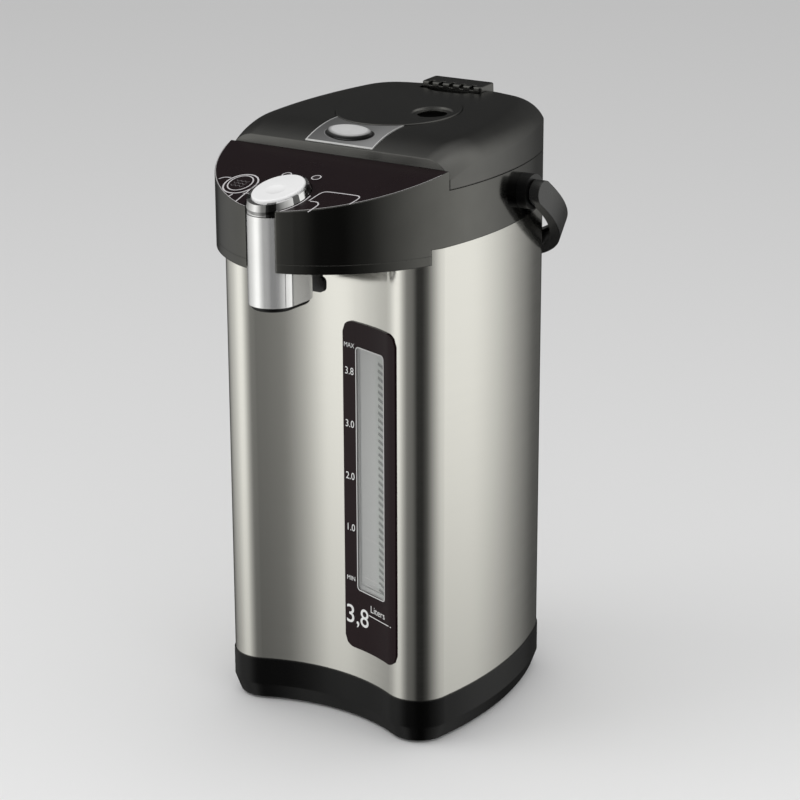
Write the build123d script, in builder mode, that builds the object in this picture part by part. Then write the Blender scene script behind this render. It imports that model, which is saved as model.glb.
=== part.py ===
"""Electric thermo pot: steel-clad water heater with a pump, a nose with a pouring column,
a hinged lid and a carrying handle.

Millimetres, +Z up. The pot stands on z = 0 and its front, with the nose, faces -Y. The plan
outlines are chains of tangent arcs, mirrored in x = 0.
"""
import os
from math import cos, radians, sin, sqrt, tan

from build123d import *

# ---------------------------------------------------------------- driving dimensions
# Inner pot and the air gaps that keep the steel body cool
pot_y = 25.0
pot_radius = 70.0
side_gap = 11.7
front_gap = 7.4
rear_gap = 8.0

# Body plan: concave front face, rounded corners, gently bowed sides and back
body_half_width = pot_radius + side_gap
side_radius = 235.0
side_middle_y = -5.0
face_y = pot_y - pot_radius - front_gap
face_radius = 112.0
front_corner_radius = 21.0
back_y = pot_y + pot_radius + rear_gap
back_radius = 160.0
rear_corner_radius = 36.0

# Head plan: the nose runs from the sides of the body to a rounded tip
nose_tip_y = -119.5
nose_tip_radius = 48.0
nose_flank_radius = 105.0

# Levels
foot_height = 2.0
base_top = 29.5
sleeve_top = 308.5
nose_bottom = 299.5
nose_seam = 304.8
lid_seat = 341.0

# Walls and clearances
plastic_wall = 2.5
sheet = 0.8
seam_gap = 0.4
pin_gap = 0.05
slide_gap = 0.4

# Base
base_proud = 0.6
base_taper_height = 10.0
base_taper = 3.6
cover_inset = 6.0
cover_thickness = 2.5
foot_radius = 8.0
foot_edge = 0.5
foot_peg_radius = 4.0
foot_front_x = 48.0
foot_front_y = -28.0
foot_rear_x = 44.0
foot_rear_y = 68.0
screw_x = 58.0
screw_front_y = -10.0
screw_rear_y = 58.0
screw_radius = 1.5
screw_head_radius = 3.2
screw_head_height = 1.2
screw_length = 12.0
post_radius = 4.5
lip_height = 4.5
lip_thickness = 2.0
lip_start_y = -25.0

# Mains inlet in the rear of the base
inlet_width = 30.0
inlet_height = 21.0
inlet_depth = 20.0
inlet_corner = 2.0
inlet_z = 16.2
socket_width = 24.0
socket_height = 16.0
socket_corner = 3.0
socket_depth = 15.0
contact_spacing = 7.0
contact_drop = 1.5
contact_rise = 2.0
contact_width = 2.0
contact_height = 4.0
contact_length = 11.0

# Levels of the inner pot, hung by its flange in the mouth ring, and its heater
pot_floor = 62.0
pot_shoulder = 296.0
neck_bottom = 310.0
neck_radius = 56.6
flange_top = 324.0
flange_radius = 61.5
mouth_radius = 63.0
gasket_thickness = 1.0
ledge_thickness = 2.5
deck_lip = 2.0
heater_bottom = 72.0
heater_height = 40.0
heater_thickness = 2.5
heater_split = 4.0
thermostat_radius = 9.0
thermostat_height = 6.0
thermostat_offset = 20.0
tab_spacing = 8.0
tab_width = 5.0
tab_thickness = 1.0
tab_length = 5.0

# Pump under the pot and the water path to the column
pump_x = 27.0
pump_y = -14.0
pump_radius = 16.0
pump_height = 14.5
motor_radius = 13.0
motor_length = 21.0
motor_flange_height = 2.0
housing_floor = 1.5
housing_roof = 2.5
outlet_rise = 8.0
outlet_length = 5.0
shaft_radius = 1.5
shaft_length = 10.0
impeller_radius = 12.5
impeller_gap = 1.0
impeller_lift = 0.7
impeller_disc = 1.5
hub_radius = 3.5
impeller_vanes = 6
vane_height = 6.5
vane_thickness = 1.2
vane_inset = 0.5
vane_angle = 25.0
spigot_radius = 5.0
spigot_bore = 3.5
spigot_length = 6.0
hose_wall = 2.0
hose_gap = 0.5
tube_radius = 4.0
tube_bore = 2.8
level_tube_y = pot_y - pot_radius - tube_radius - slide_gap
level_tube_bottom = 58.0
level_tube_top = 290.0
delivery_z = 314.5
tube_bend = 9.0

# Level window on the right of the front face: the clear glass, then the plate around it
glass_left = 19.7
glass_right = 37.8
glass_bottom = 87.0
glass_top = 241.0
glass_corner = 5.0
glass_recess = 0.3
window_left = glass_left - 9.7
window_right = glass_right + 6.2
window_bottom = glass_bottom - 40.5
window_top = glass_top + 13.0
window_corner = 6.0
window_proud = 1.0
window_margin = 4.0
opening_corner = 5.0

# Nose panel: a plane that falls forward from the lid line
lid_line_y = -44.0
panel_top = 352.0
panel_angle = 12.8
film_thickness = 0.8
film_margin = 0.9
rim_chamfer = 0.5
lamp_radius = 2.2
lamp_proud = 0.3
button_lamp_place = (-12.5, -76.0)
heat_lamp_place = (7.0, -74.0)

# Pouring column, its cap ring and the cap that is pressed to pour
column_front_y = -107.5
column_rear_y = -94.0
column_radius = 14.5
column_wall = 1.5
column_bottom = 278.5
column_top = 331.0
column_split_y = -113.4
nozzle_drop = 3.0
nozzle_edge_radius = 1.8
nozzle_height = 8.0
nozzle_wall = 1.5
nozzle_tube_radius = 6.0
nozzle_tube_bore = 4.0
nozzle_tube_top = 320.5
nozzle_spigot = 9.0
ring_half_width = 17.0
ring_half_length = 22.3
ring_rise = 3.6
ring_taper = 22.0
ring_sink = 2.6
ring_foot_drop = 1.0
ring_seat_radius = 8.0
ring_seat_floor = 1.5
spring_radius = 5.0
spring_wire = 0.9
spring_height = 5.4
spring_turns = 3
cap_half_width = 14.0
cap_half_length = 18.3
cap_rise = 5.2
cap_thickness = 4.0
cap_edge_radius = 1.2
cap_dimple_radius = 32.0
cap_dimple_depth = 0.7
cap_dimple_shift = -2.0
cap_stem_radius = 2.5
cap_stem_bottom = 325.0

# Cup lever under the nose
lever_pivot_y = -69.0
lever_pivot_z = 311.0
lever_width = 12.0
lever_thickness = 3.0
lever_head = 4.0
lever_bottom = 276.5
lever_pad_width = 17.0
lever_pad_height = 9.0
lever_pad_corner = 3.0
lever_pin_radius = 1.5
lever_slot_depth = 9.0
lever_slot_shift = 1.0
bracket_thickness = 2.5
bracket_depth = 8.0

# Control board and switches in the nose
board_z = 322.0
board_half_width = 42.0
board_front_y = -78.0
board_rear_y = -55.0
board_thickness = 1.6
board_post_radius = 3.0
board_post_inset = 8.0
chip_side = 8.0
chip_height = 6.0
chip_places = [(-26.0, -64.0), (37.0, -66.0)]
buzzer_radius = 3.5
buzzer_place = (-14.0, -62.0)
switch_width = 12.0
switch_depth = 6.0
switch_height = 7.0
switch_gap = 1.2

# Lid
lid_lift = 0.4
lid_top = 367.8
lid_tilt = 3.2
shoulder_start_y = -12.0
front_shoulder_radius = 79.0
lid_edge_radius = 20.0
lid_edge_overrun = 2.0
lid_front_overrun = 8.0
plug_radius = 54.0
plug_bottom = 327.0
plug_wall = 1.5
inner_cover_rear_y = back_y - 19.0
gasket_radius = 60.0
gasket_bore = 48.0
gasket_gap = 0.3
inner_cover_thickness = 2.0

# Round steam cap in the lid
steam_cap_y = 20.3
steam_cap_radius = 38.0
steam_cap_thickness = 3.0
steam_cap_proud = 0.7
steam_cap_edge = 0.4
steam_hole_x = 22.0
steam_hole_y = 23.0
steam_hole_radius = 9.0
steam_recess_radius = 12.5
steam_recess_depth = 1.2
steam_recess_taper = 30.0
steam_floor = 2.0
insert_radius = 10.6
insert_depth = 9.0
insert_wall = 1.2
vent_radius = 1.2
vent_circle = 4.4
vent_count = 6

# Latch plate at the front of the lid, pressed at its front to release the lid
latch_half_width = 23.9
latch_front_y = -42.2
latch_rear_y = -9.6
latch_thickness = 2.4
latch_proud = 0.3
latch_pocket_depth = 7.5
pocket_wall = 1.6
latch_pivot_y = -16.0
latch_pivot_z = 362.0
latch_barrel_radius = 2.5
latch_barrel_inner = 19.5
latch_barrel_length = 3.5
latch_pin_radius = 1.2
hook_half_width = 4.0
hook_thickness = 1.8
hook_front_y = -43.3
hook_tongue_y = -40.5
hook_bottom = 347.5
hook_nose_height = 2.0
hook_chamfer = 1.0
hook_drop = 3.5
hook_recoil = 2.1
bump_half_width = 15.5
bump_half_length = 7.5
bump_height = 2.2
bump_edge_radius = 1.8
bump_y = -31.0

# Rear release lever of the lid
release_half_width = 21.7
release_front_y = 77.5
release_rear_y = 93.5
release_rise = 3.4
release_sink = 2.5
release_travel = 3.0
release_corner = 2.0
rib_gaps = 5
rib_pitch = 7.5
rib_gap = 3.0
rib_length = 4.0
rib_depth = 2.2
scoop_half_width = 15.0
scoop_half_length = 5.0
scoop_depth = 1.6

# Lid hinge
hinge_y = back_y - 3.0
hinge_z = 344.7
hinge_pin_radius = 1.5
knuckle_radius = 3.0
lug_inner = 12.0
lug_width = 6.0
barrel_end = 25.0
lug_room = 1.0
trough_depth = 1.2
trough_half_width = 36.0
trough_margin = 4.0

# Carrying handle: a half-elliptic bail that hangs behind the body
pivot_y = 35.0
pivot_z = 326.0
handle_hang = 36.0
handle_thickness = 6.5
handle_band = 15.0
arm_straight = 5.0
grip_clearance = 6.0
boss_radius = 10.6
boss_height = 4.6
boss_gap = 0.9
boss_spigot_radius = 7.0
boss_spigot_depth = 9.7
handle_pin_radius = 4.0
handle_pin_reach = 4.3
pin_head_radius = 6.0
pin_head_height = 1.5
# Channel inside the grip, crossed by ribs
channel_depth = 3.6
channel_wall = 2.0
channel_start = 32.0
channel_ribs = 9
channel_rib = 1.6
channel_rib_pitch = 11.5

far = 400.0


# ---------------------------------------------------------------- plan outlines
def toward(start, end, distance):
    """Point at a distance from start on the line from start through end."""
    return start + (end - start).normalized() * distance


def meet(first, first_distance, second, second_distance):
    """Point at the two distances, on the left of the line from first to second."""
    span = (second - first).length
    along = (first_distance ** 2 - second_distance ** 2 + span ** 2) / (2 * span)
    aside = sqrt(first_distance ** 2 - along ** 2)
    forward = (second - first).normalized()
    return first + forward * along + Vector(-forward.Y, forward.X) * aside


face_centre = Vector(0, face_y - face_radius)
side_centre = Vector(body_half_width - side_radius, side_middle_y)
back_centre = Vector(0, back_y - back_radius)
tip_centre = Vector(0, nose_tip_y + nose_tip_radius)
front_corner = meet(side_centre, side_radius - front_corner_radius,
                    face_centre, face_radius + front_corner_radius)
rear_corner = meet(side_centre, side_radius - rear_corner_radius,
                   back_centre, back_radius - rear_corner_radius)
flank_centre = meet(side_centre, side_radius - nose_flank_radius,
                    tip_centre, nose_flank_radius - nose_tip_radius)


def mirrored_face(centres, points):
    """Closed face from one arc about each centre, from point to point, mirrored in x = 0."""
    with BuildSketch() as outline:
        with BuildLine():
            for centre, start, end in zip(centres, points, points[1:]):
                outward = (start - centre).normalized() + (end - centre).normalized()
                middle = centre + outward.normalized() * (start - centre).length
                ThreePointArc(start, middle, end)
            mirror(about=Plane.YZ)
        make_face()
    return outline.sketch


def body_plan(grow=0.0):
    """Outline of the steel body, grown outward."""
    centres = [face_centre, front_corner, side_centre, rear_corner, back_centre]
    points = [Vector(0, face_y - grow),
              toward(face_centre, front_corner, face_radius - grow),
              toward(side_centre, front_corner, side_radius + grow),
              toward(side_centre, rear_corner, side_radius + grow),
              toward(back_centre, rear_corner, back_radius + grow),
              Vector(0, back_y + grow)]
    return mirrored_face(centres, points)


def head_plan(grow=0.0):
    """Outline of the collar with its nose, grown outward."""
    centres = [tip_centre, flank_centre, side_centre, rear_corner, back_centre]
    points = [Vector(0, nose_tip_y - grow),
              toward(flank_centre, tip_centre, nose_flank_radius + grow),
              toward(side_centre, flank_centre, side_radius + grow),
              toward(side_centre, rear_corner, side_radius + grow),
              toward(back_centre, rear_corner, back_radius + grow),
              Vector(0, back_y + grow)]
    return mirrored_face(centres, points)


def column_plan(grow=0.0):
    """Outline of the pouring column, grown outward."""
    with BuildSketch() as outline:
        with Locations((0, (column_front_y + column_rear_y) / 2)):
            SlotOverall(column_rear_y - column_front_y + 2 * (column_radius + grow),
                        2 * (column_radius + grow), rotation=90)
    return outline.sketch


column_y = (column_front_y + column_rear_y) / 2


# ---------------------------------------------------------------- sloping top surfaces
def panel_z(y):
    """Height of the nose panel at y."""
    return panel_top + tan(radians(panel_angle)) * (y - lid_line_y)


lid_slope = tan(radians(lid_tilt))


def roof_height(y):
    """Height of the plane that the lid's top follows behind its front shoulder."""
    return lid_top + lid_slope * (y - steam_cap_y)


def roof_plane(y):
    """Plane of the lid's top, with its origin at y."""
    return Plane(origin=(0, y, roof_height(y)), x_dir=(1, 0, 0),
                 z_dir=(0, -sin(radians(lid_tilt)), cos(radians(lid_tilt))))


shoulder_centre = Vector(shoulder_start_y + front_shoulder_radius * sin(radians(lid_tilt)),
                         roof_height(shoulder_start_y) - front_shoulder_radius * cos(radians(lid_tilt)))


def below_roof(drop=0.0):
    """Side profile, in (y, z), of all that lies under the lid's top lowered by drop."""
    start = Vector(shoulder_start_y, roof_height(shoulder_start_y) - drop)
    centre = shoulder_centre - Vector(0, drop)
    middle = centre + Vector(-1, 1).normalized() * front_shoulder_radius
    end = centre - Vector(front_shoulder_radius, 0)
    with BuildSketch() as outline:
        with BuildLine():
            ThreePointArc(start, middle, end)
            Polyline(end, (end.X, 0), (far, 0), (far, roof_height(far) - drop), start)
        make_face()
    return outline.sketch


def shoulder_z(y):
    """Height of the lid's front shoulder at y."""
    return shoulder_centre.Y + sqrt(front_shoulder_radius ** 2 - (y - shoulder_centre.X) ** 2)


def pipe(points, radius, bore):
    """Round pipe along straight runs with equal bends."""
    with BuildPart() as tube:
        with BuildLine() as route:
            FilletPolyline(*points, radius=tube_bend)
        with BuildSketch(Plane(origin=route.line @ 0, z_dir=route.line % 0)):
            Circle(radius)
            Circle(bore, mode=Mode.SUBTRACT)
        sweep(path=route.line)
    return tube.part


def coil(radius, wire, height, turns):
    """Helical wire spring standing on the origin, with its wire centres from end to end."""
    with BuildPart() as spring:
        with BuildLine() as helix:
            Helix(pitch=height / turns, height=height, radius=radius)
        with BuildSketch(Plane(origin=helix.line @ 0, z_dir=helix.line % 0)):
            Circle(wire / 2)
        sweep(path=helix.line, is_frenet=True)
    return spring.part


# ---------------------------------------------------------------- base
base_bottom = foot_height
screw_places = [(-screw_x, screw_front_y), (screw_x, screw_front_y),
                (-screw_x, screw_rear_y), (screw_x, screw_rear_y)]
foot_places = [(-foot_front_x, foot_front_y), (foot_front_x, foot_front_y),
               (-foot_rear_x, foot_rear_y), (foot_rear_x, foot_rear_y)]

with BuildPart() as base_shell:
    taper_top = base_bottom + base_taper_height
    with BuildSketch(Plane.XY.offset(base_bottom)):
        add(body_plan(base_proud - base_taper))
    with BuildSketch(Plane.XY.offset(taper_top)):
        add(body_plan(base_proud))
    loft(ruled=True)
    with BuildSketch(Plane.XY.offset(taper_top)):
        add(body_plan(base_proud))
    extrude(amount=base_top - taper_top)
    with BuildSketch(Plane.XY.offset(base_bottom)):
        add(body_plan(seam_gap - cover_inset))
    extrude(amount=cover_thickness + pin_gap, mode=Mode.SUBTRACT)
    with BuildSketch(Plane.XY.offset(base_bottom)):
        add(body_plan(-cover_inset - plastic_wall))
    extrude(amount=base_taper_height, mode=Mode.SUBTRACT)
    with BuildSketch(Plane.XY.offset(taper_top)):
        add(body_plan(base_proud - 2 * plastic_wall))
    extrude(amount=base_top - plastic_wall - taper_top, mode=Mode.SUBTRACT)
    with BuildSketch(Plane.XY.offset(base_top)):
        add(body_plan(-sheet - pin_gap))
        add(body_plan(-sheet - pin_gap - lip_thickness), mode=Mode.SUBTRACT)
    extrude(amount=lip_height)
    with BuildSketch(Plane.XY.offset(base_bottom + cover_thickness + pin_gap)):
        with Locations(*screw_places):
            Circle(post_radius)
    extrude(amount=base_top - plastic_wall - base_bottom - cover_thickness)
    with BuildSketch(Plane.XY.offset(base_bottom)):
        with Locations(*screw_places):
            Circle(screw_radius + pin_gap)
    extrude(amount=cover_thickness + screw_length, mode=Mode.SUBTRACT)
    with Locations((pump_x, pump_y, base_top - plastic_wall / 2)):
        Cylinder(motor_radius + slide_gap, 2 * plastic_wall, mode=Mode.SUBTRACT)
    with Locations((0, back_y, inlet_z)):
        Box(inlet_width + 2 * pin_gap, 2 * inlet_depth, inlet_height + 2 * pin_gap, mode=Mode.SUBTRACT)

with BuildPart() as bottom_cover:
    with BuildSketch(Plane.XY.offset(base_bottom)):
        add(body_plan(-cover_inset))
    extrude(amount=cover_thickness)
    with BuildSketch(Plane.XY.offset(base_bottom)):
        with Locations(*screw_places):
            Circle(screw_head_radius + seam_gap)
    extrude(amount=screw_head_height, mode=Mode.SUBTRACT)
    with BuildSketch(Plane.XY.offset(base_bottom)):
        with Locations(*screw_places):
            Circle(screw_radius + pin_gap)
        with Locations(*foot_places):
            Circle(foot_peg_radius + pin_gap)
    extrude(amount=cover_thickness, mode=Mode.SUBTRACT)

with BuildPart() as rubber_feet:
    with BuildSketch():
        with Locations(*foot_places):
            Circle(foot_radius)
    extrude(amount=foot_height)
    chamfer(rubber_feet.edges().group_by(Axis.Z)[0], foot_edge)
    with BuildSketch(Plane.XY.offset(foot_height)):
        with Locations(*foot_places):
            Circle(foot_peg_radius)
    extrude(amount=cover_thickness)

with BuildPart() as cover_screws:
    head_top = base_bottom + screw_head_height
    with BuildSketch(Plane.XY.offset(head_top)):
        with Locations(*screw_places):
            Circle(screw_head_radius)
    extrude(amount=-screw_head_height + pin_gap)
    with BuildSketch(Plane.XY.offset(head_top)):
        with Locations(*screw_places):
            Circle(screw_radius)
    extrude(amount=screw_length)

with BuildPart() as power_inlet:
    inlet_face = back_y + base_proud
    with Locations((0, inlet_face - inlet_depth / 2, inlet_z)):
        Box(inlet_width, inlet_depth, inlet_height)
    fillet(power_inlet.edges().filter_by(Axis.Y), inlet_corner)
    with BuildSketch(Plane.XZ.offset(-inlet_face)):
        with Locations((0, inlet_z)):
            RectangleRounded(socket_width, socket_height, socket_corner)
    extrude(amount=socket_depth, mode=Mode.SUBTRACT)

with BuildPart() as inlet_contacts:
    with BuildSketch(Plane.XZ.offset(-(inlet_face - socket_depth))):
        with Locations((-contact_spacing, inlet_z - contact_drop), (0, inlet_z + contact_rise),
                       (contact_spacing, inlet_z - contact_drop)):
            Rectangle(contact_width, contact_height)
    extrude(amount=-contact_length)


# ---------------------------------------------------------------- steel sleeve and window
window_x = (window_left + window_right) / 2
window_z = (window_bottom + window_top) / 2
window_width = window_right - window_left
window_height = window_top - window_bottom
window_plane = Plane.XZ.offset(-level_tube_y)
glass_x = (glass_left + glass_right) / 2
glass_z = (glass_bottom + glass_top) / 2
glass_width = glass_right - glass_left
glass_height = glass_top - glass_bottom


def face_band(grow_front, grow_rear):
    """Ring about the centre of the concave face, from in front of the face to behind it."""
    with BuildSketch() as band:
        with Locations((0, face_y - face_radius)):
            Circle(face_radius + grow_rear)
            Circle(face_radius - grow_front, mode=Mode.SUBTRACT)
    return band.sketch


with BuildPart() as outer_sleeve:
    with BuildSketch(Plane.XY.offset(base_top)):
        add(body_plan())
        add(body_plan(-sheet), mode=Mode.SUBTRACT)
    extrude(amount=sleeve_top - base_top)
    with BuildSketch(window_plane):
        with Locations((window_x, window_z)):
            RectangleRounded(window_width - 2 * window_margin, window_height - 2 * window_margin,
                             opening_corner)
    extrude(amount=face_radius, mode=Mode.SUBTRACT)


def window_rib():
    """Part of the window plate that fits the opening of the sleeve."""
    with BuildPart() as rib:
        with BuildSketch(Plane.XY.offset(window_bottom)):
            add(face_band(0, sheet + pin_gap))
        extrude(amount=window_height)
        with BuildSketch(window_plane):
            with Locations((window_x, window_z)):
                RectangleRounded(window_width - 2 * window_margin - 2 * pin_gap,
                                 window_height - 2 * window_margin - 2 * pin_gap,
                                 opening_corner)
        extrude(amount=face_radius, mode=Mode.INTERSECT)
    return rib.part


with BuildPart() as window_plate:
    with BuildSketch(Plane.XY.offset(window_bottom)):
        add(face_band(window_proud, 0))
    extrude(amount=window_height)
    with BuildSketch(window_plane):
        with Locations((window_x, window_z)):
            RectangleRounded(window_width, window_height, window_corner)
    extrude(amount=face_radius, mode=Mode.INTERSECT)
    add(window_rib())
    with BuildSketch(window_plane):
        with Locations((glass_x, glass_z)):
            RectangleRounded(glass_width, glass_height, glass_corner)
    extrude(amount=face_radius, mode=Mode.SUBTRACT)

with BuildPart() as window_glass:
    with BuildSketch(Plane.XY.offset(glass_bottom)):
        add(face_band(window_proud - glass_recess, sheet))
    extrude(amount=glass_height)
    with BuildSketch(window_plane):
        with Locations((glass_x, glass_z)):
            RectangleRounded(glass_width - 2 * pin_gap, glass_height - 2 * pin_gap, glass_corner)
    extrude(amount=face_radius, mode=Mode.INTERSECT)


# ---------------------------------------------------------------- inner pot and its heater
deck_bottom = lid_seat - plastic_wall
ledge_top = flange_top - sheet - gasket_thickness
pump_place = (pump_x, pump_y)

with BuildPart() as inner_pot:
    with BuildSketch(Plane.XY.offset(pot_floor)):
        with Locations((0, pot_y)):
            Circle(pot_radius)
    extrude(amount=pot_shoulder - pot_floor)
    with BuildSketch(Plane.XY.offset(pot_floor + sheet)):
        with Locations((0, pot_y)):
            Circle(pot_radius - sheet)
    extrude(amount=pot_shoulder - pot_floor, mode=Mode.SUBTRACT)
    with BuildSketch(Plane.XY.offset(pot_floor)):
        with Locations(pump_place):
            Circle(spigot_radius)
    extrude(amount=-spigot_length)
    with BuildSketch(Plane.XY.offset(pot_floor + sheet)):
        with Locations(pump_place):
            Circle(spigot_bore)
    extrude(amount=-sheet - spigot_length, mode=Mode.SUBTRACT)

# Spun shoulder, neck and flange, seamed to the drawn pot
with BuildPart() as pot_neck:
    with BuildSketch(Plane.XZ.offset(-pot_y)):
        with BuildLine():
            Polyline((pot_radius, pot_shoulder), (neck_radius, neck_bottom),
                     (neck_radius, flange_top - sheet), (flange_radius, flange_top - sheet),
                     (flange_radius, flange_top),
                     (neck_radius - sheet, flange_top), (neck_radius - sheet, neck_bottom - sheet / 2),
                     (pot_radius - sheet, pot_shoulder), close=True)
        make_face()
    revolve(axis=Axis((0, pot_y, 0), (0, 0, 1)))

with BuildPart() as flange_gasket:
    with BuildSketch(Plane.XY.offset(ledge_top)):
        with Locations((0, pot_y)):
            Circle(flange_radius)
            Circle(neck_radius + slide_gap, mode=Mode.SUBTRACT)
    extrude(amount=flange_top - sheet - ledge_top)

with BuildPart() as band_heater:
    with BuildSketch(Plane.XY.offset(heater_bottom)):
        with Locations((0, pot_y)):
            Circle(pot_radius + heater_thickness)
            Circle(pot_radius, mode=Mode.SUBTRACT)
        with Locations((0, pot_y + pot_radius)):
            Rectangle(heater_split, 4 * heater_thickness, mode=Mode.SUBTRACT)
    extrude(amount=heater_height)

with BuildPart() as thermostat:
    with BuildSketch(Plane.XY.offset(pot_floor)):
        with Locations((-thermostat_offset, pot_y + thermostat_offset)):
            Circle(thermostat_radius)
    extrude(amount=-thermostat_height)
    with BuildSketch(Plane.XY.offset(pot_floor - thermostat_height)):
        with Locations((-thermostat_offset, pot_y + thermostat_offset)):
            with GridLocations(tab_spacing, 1, 2, 1):
                Rectangle(tab_thickness, tab_width)
    extrude(amount=-tab_length)


# ---------------------------------------------------------------- pump and water path
motor_top = base_top + motor_flange_height
housing_top = motor_top + pump_height
outlet_z = motor_top + outlet_rise

with BuildPart() as pump_motor:
    with BuildSketch(Plane.XY.offset(base_top)):
        with Locations(pump_place):
            Circle(pump_radius)
    extrude(amount=motor_flange_height)
    with BuildSketch(Plane.XY.offset(base_top)):
        with Locations(pump_place):
            Circle(motor_radius)
    extrude(amount=-motor_length)
    with BuildSketch(Plane.XY.offset(motor_top)):
        with Locations(pump_place):
            Circle(shaft_radius + pin_gap)
    extrude(amount=-shaft_length, mode=Mode.SUBTRACT)

with BuildPart() as pump_housing:
    with BuildSketch(Plane.XY.offset(motor_top)):
        with Locations(pump_place):
            Circle(pump_radius)
    extrude(amount=pump_height)
    with BuildSketch(Plane.XZ.offset(-pump_y)):
        with Locations((pump_x, outlet_z)):
            Circle(tube_radius)
    extrude(amount=pump_radius + outlet_length)
    with BuildSketch(Plane.XY.offset(motor_top + housing_floor)):
        with Locations(pump_place):
            Circle(impeller_radius + impeller_gap)
    extrude(amount=pump_height - housing_floor - housing_roof, mode=Mode.SUBTRACT)
    with BuildSketch(Plane.XZ.offset(-pump_y)):
        with Locations((pump_x, outlet_z)):
            Circle(tube_bore)
    extrude(amount=pump_radius + outlet_length, mode=Mode.SUBTRACT)
    with BuildSketch(Plane.XY.offset(housing_top)):
        with Locations(pump_place):
            Circle(spigot_radius)
    extrude(amount=spigot_length)
    with BuildSketch(Plane.XY.offset(housing_top - housing_roof)):
        with Locations(pump_place):
            Circle(spigot_bore)
    extrude(amount=housing_roof + spigot_length, mode=Mode.SUBTRACT)
    with BuildSketch(Plane.XY.offset(motor_top)):
        with Locations(pump_place):
            Circle(shaft_radius + pin_gap)
    extrude(amount=housing_floor, mode=Mode.SUBTRACT)

with BuildPart() as pump_impeller:
    disc_bottom = motor_top + housing_floor + impeller_lift
    vane_length = impeller_radius - vane_inset - hub_radius
    with BuildSketch(Plane.XY.offset(disc_bottom)):
        with Locations(pump_place):
            Circle(impeller_radius)
    extrude(amount=impeller_disc)
    with BuildSketch(Plane.XY.offset(disc_bottom)):
        with Locations(pump_place):
            with PolarLocations(hub_radius + vane_length / 2, impeller_vanes):
                Rectangle(vane_length, vane_thickness, rotation=vane_angle)
            Circle(hub_radius)
    extrude(amount=vane_height)
    with BuildSketch(Plane.XY.offset(disc_bottom)):
        with Locations(pump_place):
            Circle(shaft_radius)
    extrude(amount=-shaft_length)

with BuildPart() as suction_hose:
    hose_bottom = housing_top + hose_gap
    hose_top = pot_floor - hose_gap
    with BuildSketch(Plane.XY.offset(hose_bottom)):
        with Locations(pump_place):
            Circle(spigot_radius + hose_wall)
            Circle(spigot_radius + pin_gap, mode=Mode.SUBTRACT)
    extrude(amount=hose_top - hose_bottom)

with BuildPart() as lower_elbow:
    add(pipe([(pump_x, pump_y - pump_radius - outlet_length, outlet_z), (pump_x, level_tube_y, outlet_z),
              (pump_x, level_tube_y, level_tube_bottom)], tube_radius, tube_bore))

with BuildPart() as level_tube:
    with BuildSketch(Plane.XY.offset(level_tube_bottom)):
        with Locations((pump_x, level_tube_y)):
            Circle(tube_radius)
            Circle(tube_bore, mode=Mode.SUBTRACT)
    extrude(amount=level_tube_top - level_tube_bottom)

with BuildPart() as delivery_tube:
    add(pipe([(pump_x, level_tube_y, level_tube_top), (pump_x, level_tube_y, delivery_z),
              (pump_x, column_rear_y, delivery_z), (nozzle_spigot, column_rear_y, delivery_z)],
             tube_radius, tube_bore))


# ---------------------------------------------------------------- collar with its nose
def nose_slab(inset, top_drop, bottom_drop, rear_y):
    """Slab parallel to the panel, between two drops below it, inside the inset head plan."""
    with BuildPart() as slab:
        with BuildSketch(Plane.YZ):
            with BuildLine():
                Polyline((rear_y, panel_z(rear_y) - top_drop), (-far, panel_z(-far) - top_drop),
                         (-far, panel_z(-far) - bottom_drop), (rear_y, panel_z(rear_y) - bottom_drop),
                         close=True)
            make_face()
        extrude(amount=far / 2, both=True)
        with BuildSketch():
            add(head_plan(-inset))
        extrude(amount=far, mode=Mode.INTERSECT)
    return slab.part


def under_housing():
    """Hollow of the collar: under the deck behind the lid line, under the panel before it."""
    wall_y = lid_line_y - plastic_wall
    front_y = nose_tip_y - plastic_wall
    drop = film_thickness + plastic_wall
    with BuildPart() as hollow:
        with BuildSketch(Plane.YZ):
            with BuildLine():
                Polyline((wall_y, deck_bottom), (far, deck_bottom), (far, nose_seam), (front_y, nose_seam),
                         (front_y, panel_z(front_y) - drop), (wall_y, panel_z(wall_y) - drop), close=True)
            make_face()
        extrude(amount=far / 2, both=True)
        with BuildSketch():
            add(head_plan(-plastic_wall))
        extrude(amount=far, mode=Mode.INTERSECT)
    return hollow.part


panel_plane = Plane(origin=(0, column_y, panel_z(column_y)), x_dir=(1, 0, 0),
                    z_dir=(0, -sin(radians(panel_angle)), cos(radians(panel_angle))))
post_y = board_rear_y - board_post_inset
post_places = [(board_post_inset - board_half_width, post_y), (board_half_width - board_post_inset, post_y)]
lamp_places = [button_lamp_place, heat_lamp_place]


def deck_plan(inset):
    """Outline of the deck under the lid, inset from the collar's walls."""
    with BuildSketch() as outline:
        add(head_plan(-plastic_wall - inset))
        with Locations((0, lid_line_y + inset - far / 2)):
            Rectangle(far, far, mode=Mode.SUBTRACT)
    return outline.sketch


def hinge_trough():
    """Room under the lid's hinge barrels, across the deck and the rear wall."""
    with BuildPart() as trough:
        with Locations((0, hinge_y - trough_margin, lid_seat - trough_depth)):
            Box(2 * trough_half_width, far, trough_depth, align=(Align.CENTER, Align.MIN, Align.MIN))
    return trough.part


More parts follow.
